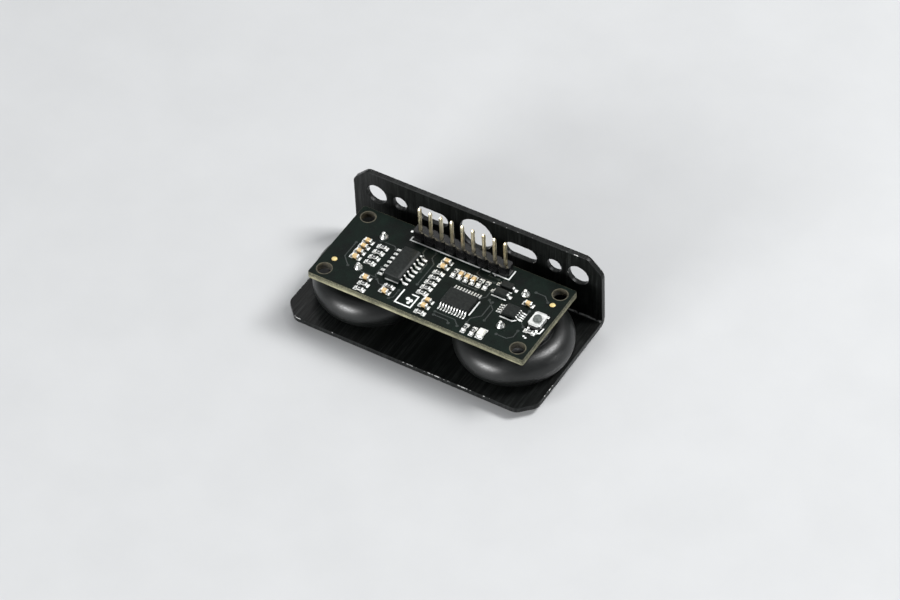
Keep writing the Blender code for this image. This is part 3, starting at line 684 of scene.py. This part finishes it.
def make_grommets():
    """A soft round ring with a faint mould line, a neck through the plate and a lip below."""
    plate_low = cad("bracket")[0].z
    plate_high = plate_low + SHEET
    gap = 0.1
    bore = 8.1
    lip = 11.4
    tube = 3.92
    shoulder = 0.55
    lip_round = 0.35
    bore_round = 0.3
    for name in ("grommet_left", "grommet_right"):
        low, high, centre, half = block(name)
        outer = half.x
        level = high.z - tube
        ring_x = outer - 0.03 - tube
        ridge = math.degrees(math.asin(0.05 / tube))
        foot = math.degrees(math.asin((level - plate_high - gap) / tube))
        profile = arc((bore + shoulder, high.z - shoulder), shoulder, 180, 90, 8)
        profile += arc((ring_x, level), tube, 90, ridge, 26)
        profile += [(outer, level + 0.03), (outer, level - 0.03)]
        profile += arc((ring_x, level), tube, -ridge, -foot, 18)
        profile += [(BASE_HOLE_RADIUS - gap, plate_high + gap)]
        profile += [(BASE_HOLE_RADIUS - gap, plate_low - gap)]
        profile += arc((lip - lip_round, plate_low - gap - lip_round), lip_round, 90, 0, 4)
        profile += arc((lip - lip_round, low.z + lip_round), lip_round, 0, -90, 4)
        profile += arc((bore + bore_round, low.z + bore_round), bore_round, -90, -180, 4)
        bm = bmesh.new()
        lathe(bm, profile, moved(centre.x, centre.y), 160, closed=True)
        piece(name + "_ring", bm, (RUBBER,), (name,))


# ---- Transducers ----

def woven_screen(centre, level, radius):
    """Wires that pass over and under each other both ways."""
    bm = bmesh.new()
    count = int(radius / WEAVE_PITCH)
    sides = 5
    for across in (False, True):
        for i in range(-count, count + 1):
            offset = i * WEAVE_PITCH
            reach = math.sqrt(radius ** 2 - offset ** 2)
            steps = max(4, int(2 * reach / WEAVE_PITCH * 2.5))
            sections = []
            for k in range(steps + 1):
                run = -reach + 2 * reach * k / steps
                phase = math.pi * (run / WEAVE_PITCH + i + (1 if across else 0))
                height = WIRE_RADIUS * 0.95 * math.cos(phase)
                ring = []
                for side in range(sides):
                    angle = math.tau * side / sides
                    shift = WIRE_RADIUS * math.cos(angle)
                    z = height + WIRE_RADIUS * math.sin(angle)
                    ring.append((run, offset + shift, z) if across else (offset + shift, run, z))
                sections.append(ring)
            loft(bm, sections, moved(centre.x, centre.y, level))
    return bm


def make_transducers():
    for side in ("left", "right"):
        prefix = "transducer_" + side + "_"
        low, high, centre, half = block(prefix + "can")
        place = moved(centre.x, centre.y)
        radius = half.x
        inner = radius - CAN_WALL

        bm = bmesh.new()
        profile = [(radius - 0.12, high.z), (radius, high.z - 0.12)]
        profile += arc((radius - CAN_EDGE, low.z + CAN_EDGE), CAN_EDGE, 0, -90, 8)
        profile += arc((MOUTH_RADIUS + 0.1, low.z + 0.1), 0.1, -90, -180, 3)
        face = low.z + CAN_WALL
        profile += [(MOUTH_RADIUS, face - 0.05), (MOUTH_RADIUS + 0.05, face), (inner, face)]
        profile += [(inner, high.z - 0.1), (inner + 0.1, high.z)]
        lathe(bm, profile, place, 128, closed=True)
        piece(prefix + "shell", bm, (CAN,), (prefix + "can",))

        bm = woven_screen(centre, middle(prefix + "screen").z, inner - 0.25)
        piece(prefix + "mesh", bm, (WIRE,), (prefix + "screen",))

        horn_low, horn_high, _, horn_half = block(prefix + "horn")
        mouth = horn_half.x
        neck = 1.1
        wall = 0.25
        flare = []
        for i in range(13):
            t = i / 12
            flare.append((neck + (mouth - 0.2 - neck) * (1 - t) ** 1.15,
                          horn_low.z + 0.15 + (horn_high.z - horn_low.z - 0.35) * t))
        outside = [(0, horn_high.z), (neck + wall, horn_high.z), (neck + wall, horn_high.z - 0.15)]
        outside += [(r + wall * 0.8, z) for r, z in reversed(flare[:-1])]
        outside += [(mouth, horn_low.z + 0.1), (mouth - 0.08, horn_low.z)]
        inside = [(mouth - 0.2, horn_low.z + 0.02)] + flare[1:] + [(0, flare[-1][1])]
        bm = bmesh.new()
        lathe(bm, outside + inside, place, 96)
        piece(prefix + "cone", bm, (HORN,), (prefix + "horn",))

        carry(prefix + "piezo", BRASS)
        carry(prefix + "base", POTTING)
        for end in ("front", "back"):
            make_transducer_pin(prefix + "pin_" + end)


def make_transducer_pin(node):
    """A tinned pin, and the cone of solder that holds it in the board."""
    low, high, centre, half = block(node)
    place = moved(centre.x, centre.y)
    radius = half.x
    bm = bmesh.new()
    tip = arc((radius - PIN_TIP, high.z - PIN_TIP), PIN_TIP, 90, 0, 6)
    lathe(bm, [(0, high.z)] + tip + [(radius, low.z), (0, low.z)], place, 28)
    piece(node + "_wire", bm, (TIN,), (node,))

    # A neck of solder climbs the pin from a round drop, and the pin's tip stands clear of it
    top = BOARD_HIGH.z
    rise = high.z - 0.4 - top
    drop = 0.52
    steps = 16
    profile = [(0, top + rise + 0.05), (radius * 0.9, top + rise + 0.04)]
    for i in range(steps + 1):
        t = i / steps
        swell = math.sin(math.pi / 2 * min(t / 0.86, 1)) ** 2.4
        profile.append((radius + 0.03 + drop * swell, top + 0.03 + rise * (1 - t)))
    profile += [(radius + drop - 0.03, top + 0.004), (0, top + 0.004)]
    lathe(SOLDER_MESH, profile, place, 36)


# ---- Circuit board ----

def header_x(index):
    return (index - (HEADER_PINS - 1) / 2) * PITCH


def mounting_holes():
    x, y = MOUNT_HOLE_PLACE
    return [(side_x * x, side_y * y) for side_x, side_y in CORNERS]


def make_board():
    half_x, half_y = BOARD_HALF.x, BOARD_HALF.y
    holes = [circle(MOUNT_HOLE_RADIUS, 64, place) for place in mounting_holes()]
    header_y = middle("header_base").y - BOARD.y
    holes += [circle(PIN_HOLE_RADIUS, 20, (header_x(i), header_y)) for i in range(HEADER_PINS)]
    for pin in ("left_pin_front", "left_pin_back", "right_pin_front", "right_pin_back"):
        spot = middle("transducer_" + pin) - BOARD
        holes.append(circle(PIN_HOLE_RADIUS, 20, (spot.x, spot.y)))
    thickness = BOARD_HIGH.z - BOARD_LOW.z
    bm = plate(rounded_rectangle(half_x, half_y, BOARD_CORNER, 5), holes, thickness, BOARD_EDGE)
    for face in bm.faces:
        middle_point = face.calc_center_median()
        inside = abs(middle_point.x) < half_x - 0.5 and abs(middle_point.y) < half_y - 0.5
        face.material_index = 0 if abs(face.normal.z) > FLAT_SLOPE else 2 if inside else 1
    bm.transform(moved(BOARD.x, BOARD.y, BOARD.z - thickness / 2))
    piece("board_laminate", bm, (MASK, LAMINATE, BORE), ("pcb",), weighted=True)


SILK_LINES = (
    # round the header, with its pin-one dot and a tick
    ((-11.75, 8.0), (-11.75, 7.05), (11.75, 7.05), (11.75, 9.7)),
    ((8.67, 7.05), (8.67, 6.7)),
    # beside the three chips
    ((-10.47, -4.85), (-7.61, -4.85)),
    ((9.75, -1.28), (9.75, -5.44)),
    ((15.38, -2.62), (18.2, -2.62), (18.75, -2.1)),
    # along the two diodes
    ((10.95, 4.0), (14.1, 4.0)),
    ((10.85, 1.75), (14.0, 1.75)),
    # at the switch's corner
    ((24.85, -1.5), (24.75, -2.95), (24.3, -3.15)),
    # an unfitted part's outline, open at one side
    ((-5.4, -5.75), (-5.4, -9.5), (-1.75, -9.5), (-1.75, -6.1), (-3.2, -6.1)),
)
SILK_WIDTH = 0.32
SILK_DOTS = ((-12.74, 9.3, 0.3), (-3.45, -7.5, 0.44), (-2.6, -7.75, 0.44), (-2.85, -8.5, 0.36),
             (22.3, -5.1, 0.24), (22.85, -5.35, 0.24), (-7.05, 4.4, 0.16))
FIDUCIALS = ((-22.6, -5.2), (23.1, 5.2))
FIDUCIAL_RADIUS = 0.6


def make_silk():
    bm = bmesh.new()
    for line in SILK_LINES:
        stroke(bm, line, SILK_WIDTH, PRINT_LOW, SILK_HEIGHT)
    for x, y, radius in SILK_DOTS:
        profile = [(0, SILK_HEIGHT), (radius, SILK_HEIGHT), (radius, PRINT_LOW), (0, PRINT_LOW)]
        lathe(bm, profile, on_board(x, y), 24)
    piece("board_silk", bm, (SILK,))


def make_hole_rings():
    """Bare rings round the mounting holes, where the mask stops short of the edge."""
    bm = bmesh.new()
    inner = MOUNT_HOLE_RADIUS + 0.03
    outer = MOUNT_HOLE_RADIUS + 0.24
    profile = [(inner, PRINT_LOW), (outer, PRINT_LOW), (outer, 0.012), (inner, 0.012)]
    for x, y in mounting_holes():
        for level in (0, -UNDERSIDE):
            lathe(bm, profile, on_board(x, y) @ moved(0, 0, level), 64, closed=True)
    piece("board_hole_rings", bm, (BARE,))


def make_fiducials():
    bm = bmesh.new()
    profile = [(0, PAD_HEIGHT), (FIDUCIAL_RADIUS - 0.04, PAD_HEIGHT), (FIDUCIAL_RADIUS, 0.02),
               (FIDUCIAL_RADIUS, PRINT_LOW), (0, PRINT_LOW)]
    for x, y in FIDUCIALS:
        lathe(bm, profile, on_board(x, y), 40)
    piece("board_fiducials", bm, (GOLD,))


# Tracks under the mask: the places of each one's corners, with a via at both ends
TRACKS = (
    ((-7.6, 6.3), (-7.6, 5.1), (-5.2, 2.7), (-5.2, 0.2)),
    ((-5.1, 6.3), (-5.1, 4.6), (-3.9, 3.4), (-3.9, -3.2)),
    ((5.1, 6.9), (5.1, 5.4), (6.4, 4.9), (9.6, 4.9)),
    ((7.6, 6.9), (7.6, 6.1), (10.0, 6.1)),
    ((10.2, 2.6), (10.2, 0.6), (9.3, -0.3)),
    ((11.2, 0.2), (13.2, -1.8), (13.2, -5.2)),
    ((12.1, -0.1), (12.1, -4.4), (10.4, -6.1), (10.4, -7.4)),
    ((3.2, -7.9), (7.9, -7.9), (9.2, -9.2)),
    ((3.4, -8.8), (6.6, -8.8), (7.2, -9.4)),
    ((-12.8, -2.6), (-12.8, -5.0), (-11.9, -5.9)),
    ((-16.9, 3.9), (-13.6, 3.9), (-12.9, 3.2)),
    ((-16.6, -5.6), (-12.1, -5.6), (-10.9, -6.8), (-9.9, -6.8)),
    ((-21.2, 1.0), (-21.2, -3.4), (-19.2, -5.4)),
    ((18.4, 6.6), (20.6, 6.6), (21.9, 5.3)),
    ((19.9, 1.4), (19.9, -1.9), (21.0, -3.0)),
    ((17.2, -7.3), (19.6, -7.3), (20.6, -6.3), (20.6, -4.4)),
    ((-6.3, -6.4), (-6.3, -8.6), (-7.0, -9.3)),
    ((1.8, 2.2), (4.4, 1.4), (7.3, 1.4)),
)
TRACK_WIDTH = 0.22
VIA_RADIUS = 0.33


def make_tracks():
    bm = bmesh.new()
    vias = []
    for line in TRACKS:
        stroke(bm, line, TRACK_WIDTH, 0.0, TRACK_HEIGHT)
        vias += [line[0], line[-1]]
    profile = [(0, 0.012), (0.1, 0.014), (0.16, 0.036), (VIA_RADIUS - 0.06, 0.036),
               (VIA_RADIUS, 0.02), (VIA_RADIUS, 0), (0, 0)]
    for x, y in vias:
        lathe(bm, profile, on_board(x, y), 28)
    piece("board_tracks", bm, (TRACK,))


# ---- Header ----

def make_header():
    low, high, centre, half_size = block("header_base")
    half_y = half_size.y
    half = PITCH / 2
    notch = 0.45
    front = []
    for i in range(HEADER_PINS):
        x = header_x(i)
        front += [(x - half + notch, -half_y), (x + half - notch, -half_y)]
        if i < HEADER_PINS - 1:
            front += [(x + half - 0.06, notch - half_y), (x + half + 0.06, notch - half_y)]
    end = header_x(HEADER_PINS - 1) + half
    end_y = half_y - notch
    back = [(-x, -y) for x, y in front]
    outline = front + [(end, -end_y), (end, end_y)] + back + [(-end, end_y), (-end, -end_y)]
    holes = []
    for i in range(HEADER_PINS):
        square = rounded_rectangle(PIN_HALF + 0.04, PIN_HALF + 0.04, 0.04, 1)
        holes.append([(x + header_x(i), y) for x, y in square])
    bm = plate(outline, holes, high.z - low.z, 0.07)
    bm.transform(Matrix.Translation(centre))
    piece("header_body", bm, (HEADER,), ("header_base",), weighted=True)

    for i in range(HEADER_PINS):
        node = "header_pin_%d" % (i + 1)
        pin_low, pin_high = cad(node)
        place = moved(centre.x + header_x(i), centre.y)
        levels = [(pin_low.z, 0.13, 0.13, 0.04), (pin_low.z + 0.4, PIN_HALF, PIN_HALF, 0.1),
                  (pin_high.z - 0.5, PIN_HALF, PIN_HALF, 0.1),
                  (pin_high.z - 0.42, PIN_HALF - 0.015, PIN_HALF - 0.015, 0.1),
                  (pin_high.z - 0.06, 0.155, 0.155, 0.06), (pin_high.z, 0.11, 0.11, 0.05)]
        bm = bmesh.new()
        stack(bm, levels, place)
        piece(node + "_post", bm, (PIN_GOLD,), (node,))

        # Solder under the board, hanging from a round pad
        under = BOARD_LOW.z
        profile = [(0, under - 0.95), (PIN_HALF + 0.08, under - 0.92)]
        for k in range(7):
            t = k / 6
            profile.append((PIN_HALF + 0.12 + 0.5 * t ** 2, under - 0.03 - 0.8 * (1 - t) ** 1.6))
        profile += [(0.95, under - 0.01), (0, under - 0.004)]
        lathe(SOLDER_MESH, profile, place, 24)


# ---- Moulded packages ----

# Body width, lead pitch, leads a side, lead width, whether the rows lie along X, chamfered edge
PACKAGES = {
    "ic_amplifier": (3.9, 1.27, 7, 0.42, False, 0.42),
    "ic_controller": (4.4, 0.65, 10, 0.24, True, 0.0),
    "ic_comparator": (3.0, 0.65, 4, 0.28, False, 0.0),
    "diode_1": (2.7, 1.0, 1, 0.62, False, 0.0),
    "diode_2": (2.7, 1.0, 1, 0.62, False, 0.0),
}


def seat(node, turned):
    """Where a part stands on the board, turned a quarter if it lies across."""
    centre = middle(node)
    return moved(centre.x, centre.y, BOARD.z) @ rotated(90 if turned else 0)


def pad(place, half_x, half_y, corner, ease=0.01, tighter=0.0):
    """A tinned pad, whose top may be a little smaller than its foot."""
    stack(PAD_MESH, [(PAD_LOW, half_x, half_y, corner),
                     (PAD_HEIGHT, half_x - ease, half_y - ease, corner - tighter)], place)


def moulded_body(bm, width, length, low, high, chamfer, place):
    """Two drafted halves that meet at the parting line; one long edge may be chamfered."""
    draft = 0.11
    part = (low + high) / 2
    ease = 0.05
    levels = ((low, draft, 0.05), (low + ease, draft - 0.02, 0.06), (part - 0.02, 0.02, 0.07),
              (part - 0.02, 0.0, 0.07), (part + 0.02, 0.0, 0.07), (part + 0.02, 0.02, 0.07),
              (high - max(ease, chamfer * 0.75), draft * 0.6, 0.07),
              (high - ease, draft - 0.02, 0.06), (high, draft + 0.03, 0.05))
    sections = []
    for z, inset, corner in levels:
        ring = []
        cut = max(0.0, chamfer - (high - z) / 0.75) if chamfer else 0.0
        for x, y in rounded_rectangle(width / 2 - inset, length / 2 - inset, corner, 3):
            ring.append((x - cut if x > 0 else x, y, z))
        sections.append(ring)
    loft(bm, sections, place)


def lead_path(width, span, level, thickness):
    """A gull-wing lead's middle line in X and Z, from the body to its toe."""
    foot = SEAT + thickness / 2
    shoulder = width / 2 + 0.24
    drop = shoulder + 0.2
    points = [(width / 2 - 0.15, 0, level), (shoulder, 0, level), (drop, 0, foot),
              (span / 2, 0, foot)]
    return rounded_path(points, 0.1)


def make_package(node, width, pitch, per_side, lead_width, along_x, chamfer):
    low, high = cad(node)
    size = high - low
    length, span = (size.x, size.y) if along_x else (size.y, size.x)
    place = seat(node, along_x)
    top = high.z - BOARD.z
    bottom = SEAT + 0.08
    level = (top + bottom) / 2
    thickness = 0.17

    bm = bmesh.new()
    moulded_body(bm, width, length, bottom, top, chamfer, place)
    body = piece(node + "_body", bm, (EPOXY,), (node,))
    if per_side > 1:
        dimple = bmesh.new()
        dent = 0.26 if per_side < 5 else 0.34
        corner = place @ moved(0.5 - width / 2 + dent, length / 2 - 0.5 - dent, top)
        lathe(dimple, [(0, -0.06), (dent - 0.05, -0.05), (dent, 0.02), (dent, 0.3), (0, 0.3)],
              corner, 32)
        carve(body, dimple)

    leads = bmesh.new()
    path = lead_path(width, span, level, thickness)
    reach = 0.55 if pitch < 1 else 0.42
    pad_half = lead_width / 2 + (0.04 if pitch < 1 else 0.1)
    # How far each pad runs under the lead from its toe, and beyond it
    heel = 0.62
    tail = reach + 0.05
    for i in range(per_side):
        row = (i - (per_side - 1) / 2) * pitch
        for flip in (0, 180):
            at = place @ rotated(flip) @ moved(0, row)
            ribbon(leads, path, lead_width, thickness, at)
            fillet(reach, pad_half * 1.9, 0.2, at @ moved(span / 2 - 0.02, 0, 0.01))
            pad(at @ moved((span + tail - heel) / 2, 0), (tail + heel) / 2, pad_half, 0.05, 0.0)
    piece(node + "_leads", leads, (TIN,))


# ---- Small parts ----

# Chip resistors that have no CAD node: place, and whether they lie along Y
LOOSE_RESISTORS = ((-13.5, -8.5, False), (-13.5, -10.1, False), (-8.55, -6.6, False),
                   (-1.7, -4.8, False), (0.7, -9.7, False), (22.8, -3.6, False),
                   (1.15, 3.3, True), (7.15, 3.3, True), (8.65, 3.3, True), (12.8, -9.0, True),
                   (10.9, -9.0, True))
CHIP_END = 0.34


def chip(name, kind, place, half_x, half_y, height, replaces=()):
    """A chip part along X: a ceramic body and two tinned ends, soldered to their pads."""
    bm = bmesh.new()
    low = SEAT
    high = SEAT + height
    body_y = half_y - 0.03
    if kind == "capacitor":
        stack(bm, rounded_levels(half_x - 0.1, body_y, low + 0.02, high - 0.02, 0.05), place)
        finishes = (CERAMIC, TIN)
    else:
        stack(bm, rounded_levels(half_x - 0.05, body_y, low + 0.02, high - 0.06, 0.02), place, 2)
        stack(bm, rounded_levels(half_x - CHIP_END + 0.06, body_y - 0.03, high - 0.1, high - 0.01,
                                 0.035), place)
        for x in (-0.14, 0.0, 0.14):
            mark = place @ moved(x, 0)
            stack(bm, [(high - 0.02, 0.028, 0.15, 0.02), (high, 0.028, 0.15, 0.02)], mark, 3, 2)
        finishes = (GLAZE, TIN, ALUMINA, SILK)
    for side in (-1, 1):
        end = place @ moved(side * (half_x - CHIP_END / 2), 0)
        stack(bm, rounded_levels(CHIP_END / 2, half_y, low, high, 0.07), end, 1)
        outward = place @ rotated(0 if side > 0 else 180)
        wall = outward @ moved(half_x - 0.03, 0, 0.01)
        fillet(0.44, half_y * 2 + 0.06, height * 0.8, wall)
        pad(outward @ moved(half_x + 0.06, 0), 0.47, half_y + 0.1, 0.08, tighter=0.01)
    piece(name, bm, finishes, replaces)


def make_chips():
    for kind, count, slot in (("capacitor", 14, "ceramic_tan"), ("resistor", 8, "resistor_black")):
        for i in range(count):
            node = "%s_%02d" % (kind, i + 1)
            half = block(node)[3]
            place = seat(node, half.y > half.x)
            chip(node + "_chip", kind, place, max(half.x, half.y), min(half.x, half.y), half.z * 2,
                 (node,))
    half = block("resistor_01")[3]
    for i, (x, y, along_y) in enumerate(LOOSE_RESISTORS):
        place = on_board(x, y) @ rotated(90 if along_y else 0)
        chip("resistor_%02d_chip" % (i + 9), "resistor", place, half.x, half.y, half.z * 2)


def make_led():
    _, high, _, half = block("led")
    half_x, half_y = half.x, half.y
    place = seat("led", False)
    top = high.z - BOARD.z
    bm = bmesh.new()
    stack(bm, rounded_levels(half_x, half_y, SEAT, 0.48, 0.03), place)
    stack(bm, [(0.4, half_x * 0.94, half_y * 0.66, 0.06), (0.6, half_x * 0.93, half_y * 0.64, 0.1),
               (top - 0.08, half_x * 0.84, half_y * 0.57, 0.14),
               (top - 0.02, half_x * 0.76, half_y * 0.5, 0.14),
               (top, half_x * 0.62, half_y * 0.42, 0.12)], place, 1, 5)
    for side in (-1, 1):
        end = place @ moved(0, side * (half_y - 0.17))
        stack(bm, rounded_levels(half_x + 0.005, 0.175, SEAT - 0.01, 0.52, 0.03), end, 2)
        wall = place @ rotated(90 * side) @ moved(half_y - 0.03, 0, 0.01)
        fillet(0.4, half_x * 1.9, 0.36, wall)
        pad(place @ moved(0, side * (half_y + 0.05)), half_x + 0.06, 0.4, 0.08)
    piece("led_package", bm, (LED_BODY, LED_LENS, TIN), ("led",))


# ---- Tactile switch ----

def make_switch():
    low, high, centre, half = block("switch_cover")
    half_x, half_y = half.x, half.y
    base_low, base_high = cad("switch_base")
    plunger_low, plunger_high, _, plunger_half = block("switch_plunger")
    flange = plunger_half.x
    stem = 0.85

    outline = rounded_corners(cut_corner_rectangle(half_x, half_y, 0.42), 0.1, 3)
    bm = plate(outline, [circle(stem + 0.06, 48)], high.z - low.z, 0.05)
    bm.transform(Matrix.Translation(centre))
    # A rivet's head at each corner, level with the cover's top
    cover_top = moved(centre.x, centre.y, high.z)
    for side_x, side_y in CORNERS:
        spot = moved(side_x * (half_x - 0.34), side_y * (half_y - 0.5))
        lathe(bm, [(0, 0.0), (0.1, -0.005), (0.15, -0.03), (0, -0.03)], cover_top @ spot, 16)
    # Skirts that fold down over the base's long sides
    for side in (-1, 1):
        skirt = moved(centre.x + side * (half_x - 0.05), centre.y)
        stack(bm, rounded_levels(0.05, half_y - 0.7, base_low.z + 0.35, high.z - 0.06, 0.03), skirt)
    piece("switch_cover_plate", bm, (SWITCH_METAL,), ("switch_cover",),
          weighted=True)

    bm = bmesh.new()
    place = moved(centre.x, centre.y)
    inner = 1.15
    steps = 64
    outer_ring = []
    inner_ring = []
    for i in range(steps):
        angle = math.tau * i / steps
        x, y = math.cos(angle), math.sin(angle)
        stretch = min((half_x - 0.12) / max(abs(x), 1e-6), (half_y - 0.02) / max(abs(y), 1e-6))
        stretch = min(stretch, (half_x + half_y - 0.5) / (abs(x) + abs(y)))
        outer_ring.append((x * stretch, y * stretch))
        inner_ring.append((x * inner, y * inner))
    floor = base_low.z + 0.2
    levels = [(outer_ring, base_low.z, 0.97), (outer_ring, base_low.z + 0.06, 1.0),
              (outer_ring, base_high.z - 0.04, 1.0), (outer_ring, base_high.z, 0.98),
              (inner_ring, base_high.z, 1.0), (inner_ring, floor, 1.0)]
    loft(bm, [[(x * s, y * s, z) for x, y in ring] for ring, z, s in levels], place)
    piece("switch_base_moulding", bm, (SWITCH_BASE,), ("switch_base",))

    legs = bmesh.new()
    level = 0.42
    foot = SEAT + LEG / 2
    path = rounded_path([(half_y - 0.3, 0, level), (half_y + 0.08, 0, level),
                         (half_y + 0.2, 0, foot), (half_y + 0.5, 0, foot)], 0.06)
    for side_x, side_y in CORNERS:
        at = moved(centre.x + side_x * 0.9, centre.y, BOARD.z) @ rotated(90 * side_y)
        ribbon(legs, path, 0.5, LEG, at)
        fillet(0.26, 0.6, 0.16, at @ moved(half_y + 0.47, 0, 0.01))
        pad(at @ moved(half_y + 0.42, 0), 0.4, 0.36, 0.06)
    piece("switch_legs", legs, (TIN,))

    bm = bmesh.new()
    top = plunger_high.z
    face = arc((stem - 0.14, top - 0.14), 0.14, 90, 0, 5)
    shoulder = base_high.z - 0.05
    profile = [(0, top - 0.035), (0.3, top - 0.03), (0.52, top - 0.005), (0.6, top)] + face
    profile += [(stem, shoulder), (flange, shoulder), (flange, plunger_low.z), (0, plunger_low.z)]
    lathe(bm, profile, place, 48)
    piece("switch_plunger_cap", bm, (PLUNGER,), ("switch_plunger",), BUTTON)
    carry("switch_dome", SWITCH_METAL)


# ---- Studio ----

CAMERA_AZIMUTH = 33.16
CAMERA_ELEVATION = 46.08
CAMERA_ROLL = -2.86
CAMERA_DISTANCE = 0.7748
CAMERA_AIM = (2.75 * MM, -1.54 * MM, 10.0 * MM)
CAMERA_LENS = 151.8
LIGHT_AIM = Vector((0.0, 0.0, 0.01))
FLOOR_RADIUS = 3.0
# The floor lies just below the cans' rims, so that it shares no face with them
FLOOR_GAP = 0.02 * MM


def make_camera():
    azimuth = math.radians(CAMERA_AZIMUTH)
    elevation = math.radians(CAMERA_ELEVATION)
    back = Vector((math.sin(azimuth) * math.cos(elevation),
                   -math.cos(azimuth) * math.cos(elevation), math.sin(elevation)))
    data = bpy.data.cameras.new("camera")
    data.lens = CAMERA_LENS
    data.sensor_width = 36.0
    data.clip_start = 0.01
    camera = linked("camera", data)
    camera.location = Vector(CAMERA_AIM) + back * CAMERA_DISTANCE
    camera.rotation_mode = "QUATERNION"
    turn = Quaternion((0, 0, 1), math.radians(CAMERA_ROLL))
    camera.rotation_quaternion = (-back).to_track_quat("-Z", "Y") @ turn
    bpy.context.scene.camera = camera


def softbox(name, place, size, power):
    data = bpy.data.lights.new(name, "AREA")
    data.shape = "RECTANGLE"
    data.size, data.size_y = size
    data.energy = power
    light = linked(name, data)
    light.location = place
    light.rotation_mode = "QUATERNION"
    light.rotation_quaternion = (LIGHT_AIM - Vector(place)).to_track_quat("-Z", "Y")


def make_studio():
    bm = bmesh.new()
    bmesh.ops.create_circle(bm, cap_ends=True, segments=96, radius=FLOOR_RADIUS)
    mesh = bpy.data.meshes.new("floor")
    bm.to_mesh(mesh)
    bm.free()
    floor = linked("floor", mesh)
    floor.location.z = -FLOOR_GAP
    mesh.materials.append(surface("floor_paper", (0.57, 0.578, 0.584), (0.59, 0.598, 0.604),
                                  (0.6, 0.7), grain=0.05, fine=1.5))

    softbox("front", (-0.2, -0.7, 0.2), (0.34, 0.2), 6.0)
    softbox("right", (0.34, 0.29, 0.6), (0.24, 0.24), 5.0)
    softbox("overhead", (-0.33, 0.5, 0.62), (0.5, 0.45), 0.95)
    softbox("low_right", (0.72, 0.2, 0.16), (0.08, 0.08), 0.35)
    world = bpy.data.worlds.new("studio")
    world.use_nodes = True
    world.node_tree.nodes["Background"].inputs["Color"].default_value = (0.9, 0.92, 0.95, 1)
    world.node_tree.nodes["Background"].inputs["Strength"].default_value = 0.3
    bpy.context.scene.world = world
    bpy.context.scene.view_settings.view_transform = "Standard"


# ---- Assembly ----

SOLDER_MESH = bmesh.new()
PAD_MESH = bmesh.new()

make_camera()
make_studio()
make_bracket()
make_grommets()
make_transducers()
make_board()
make_silk()
make_hole_rings()
make_fiducials()
make_tracks()
make_header()
for package, details in PACKAGES.items():
    make_package(package, *details)
make_chips()
make_led()
make_switch()
piece("board_pads", PAD_MESH, (TIN,))
piece("board_solder", SOLDER_MESH, (SOLDER,))
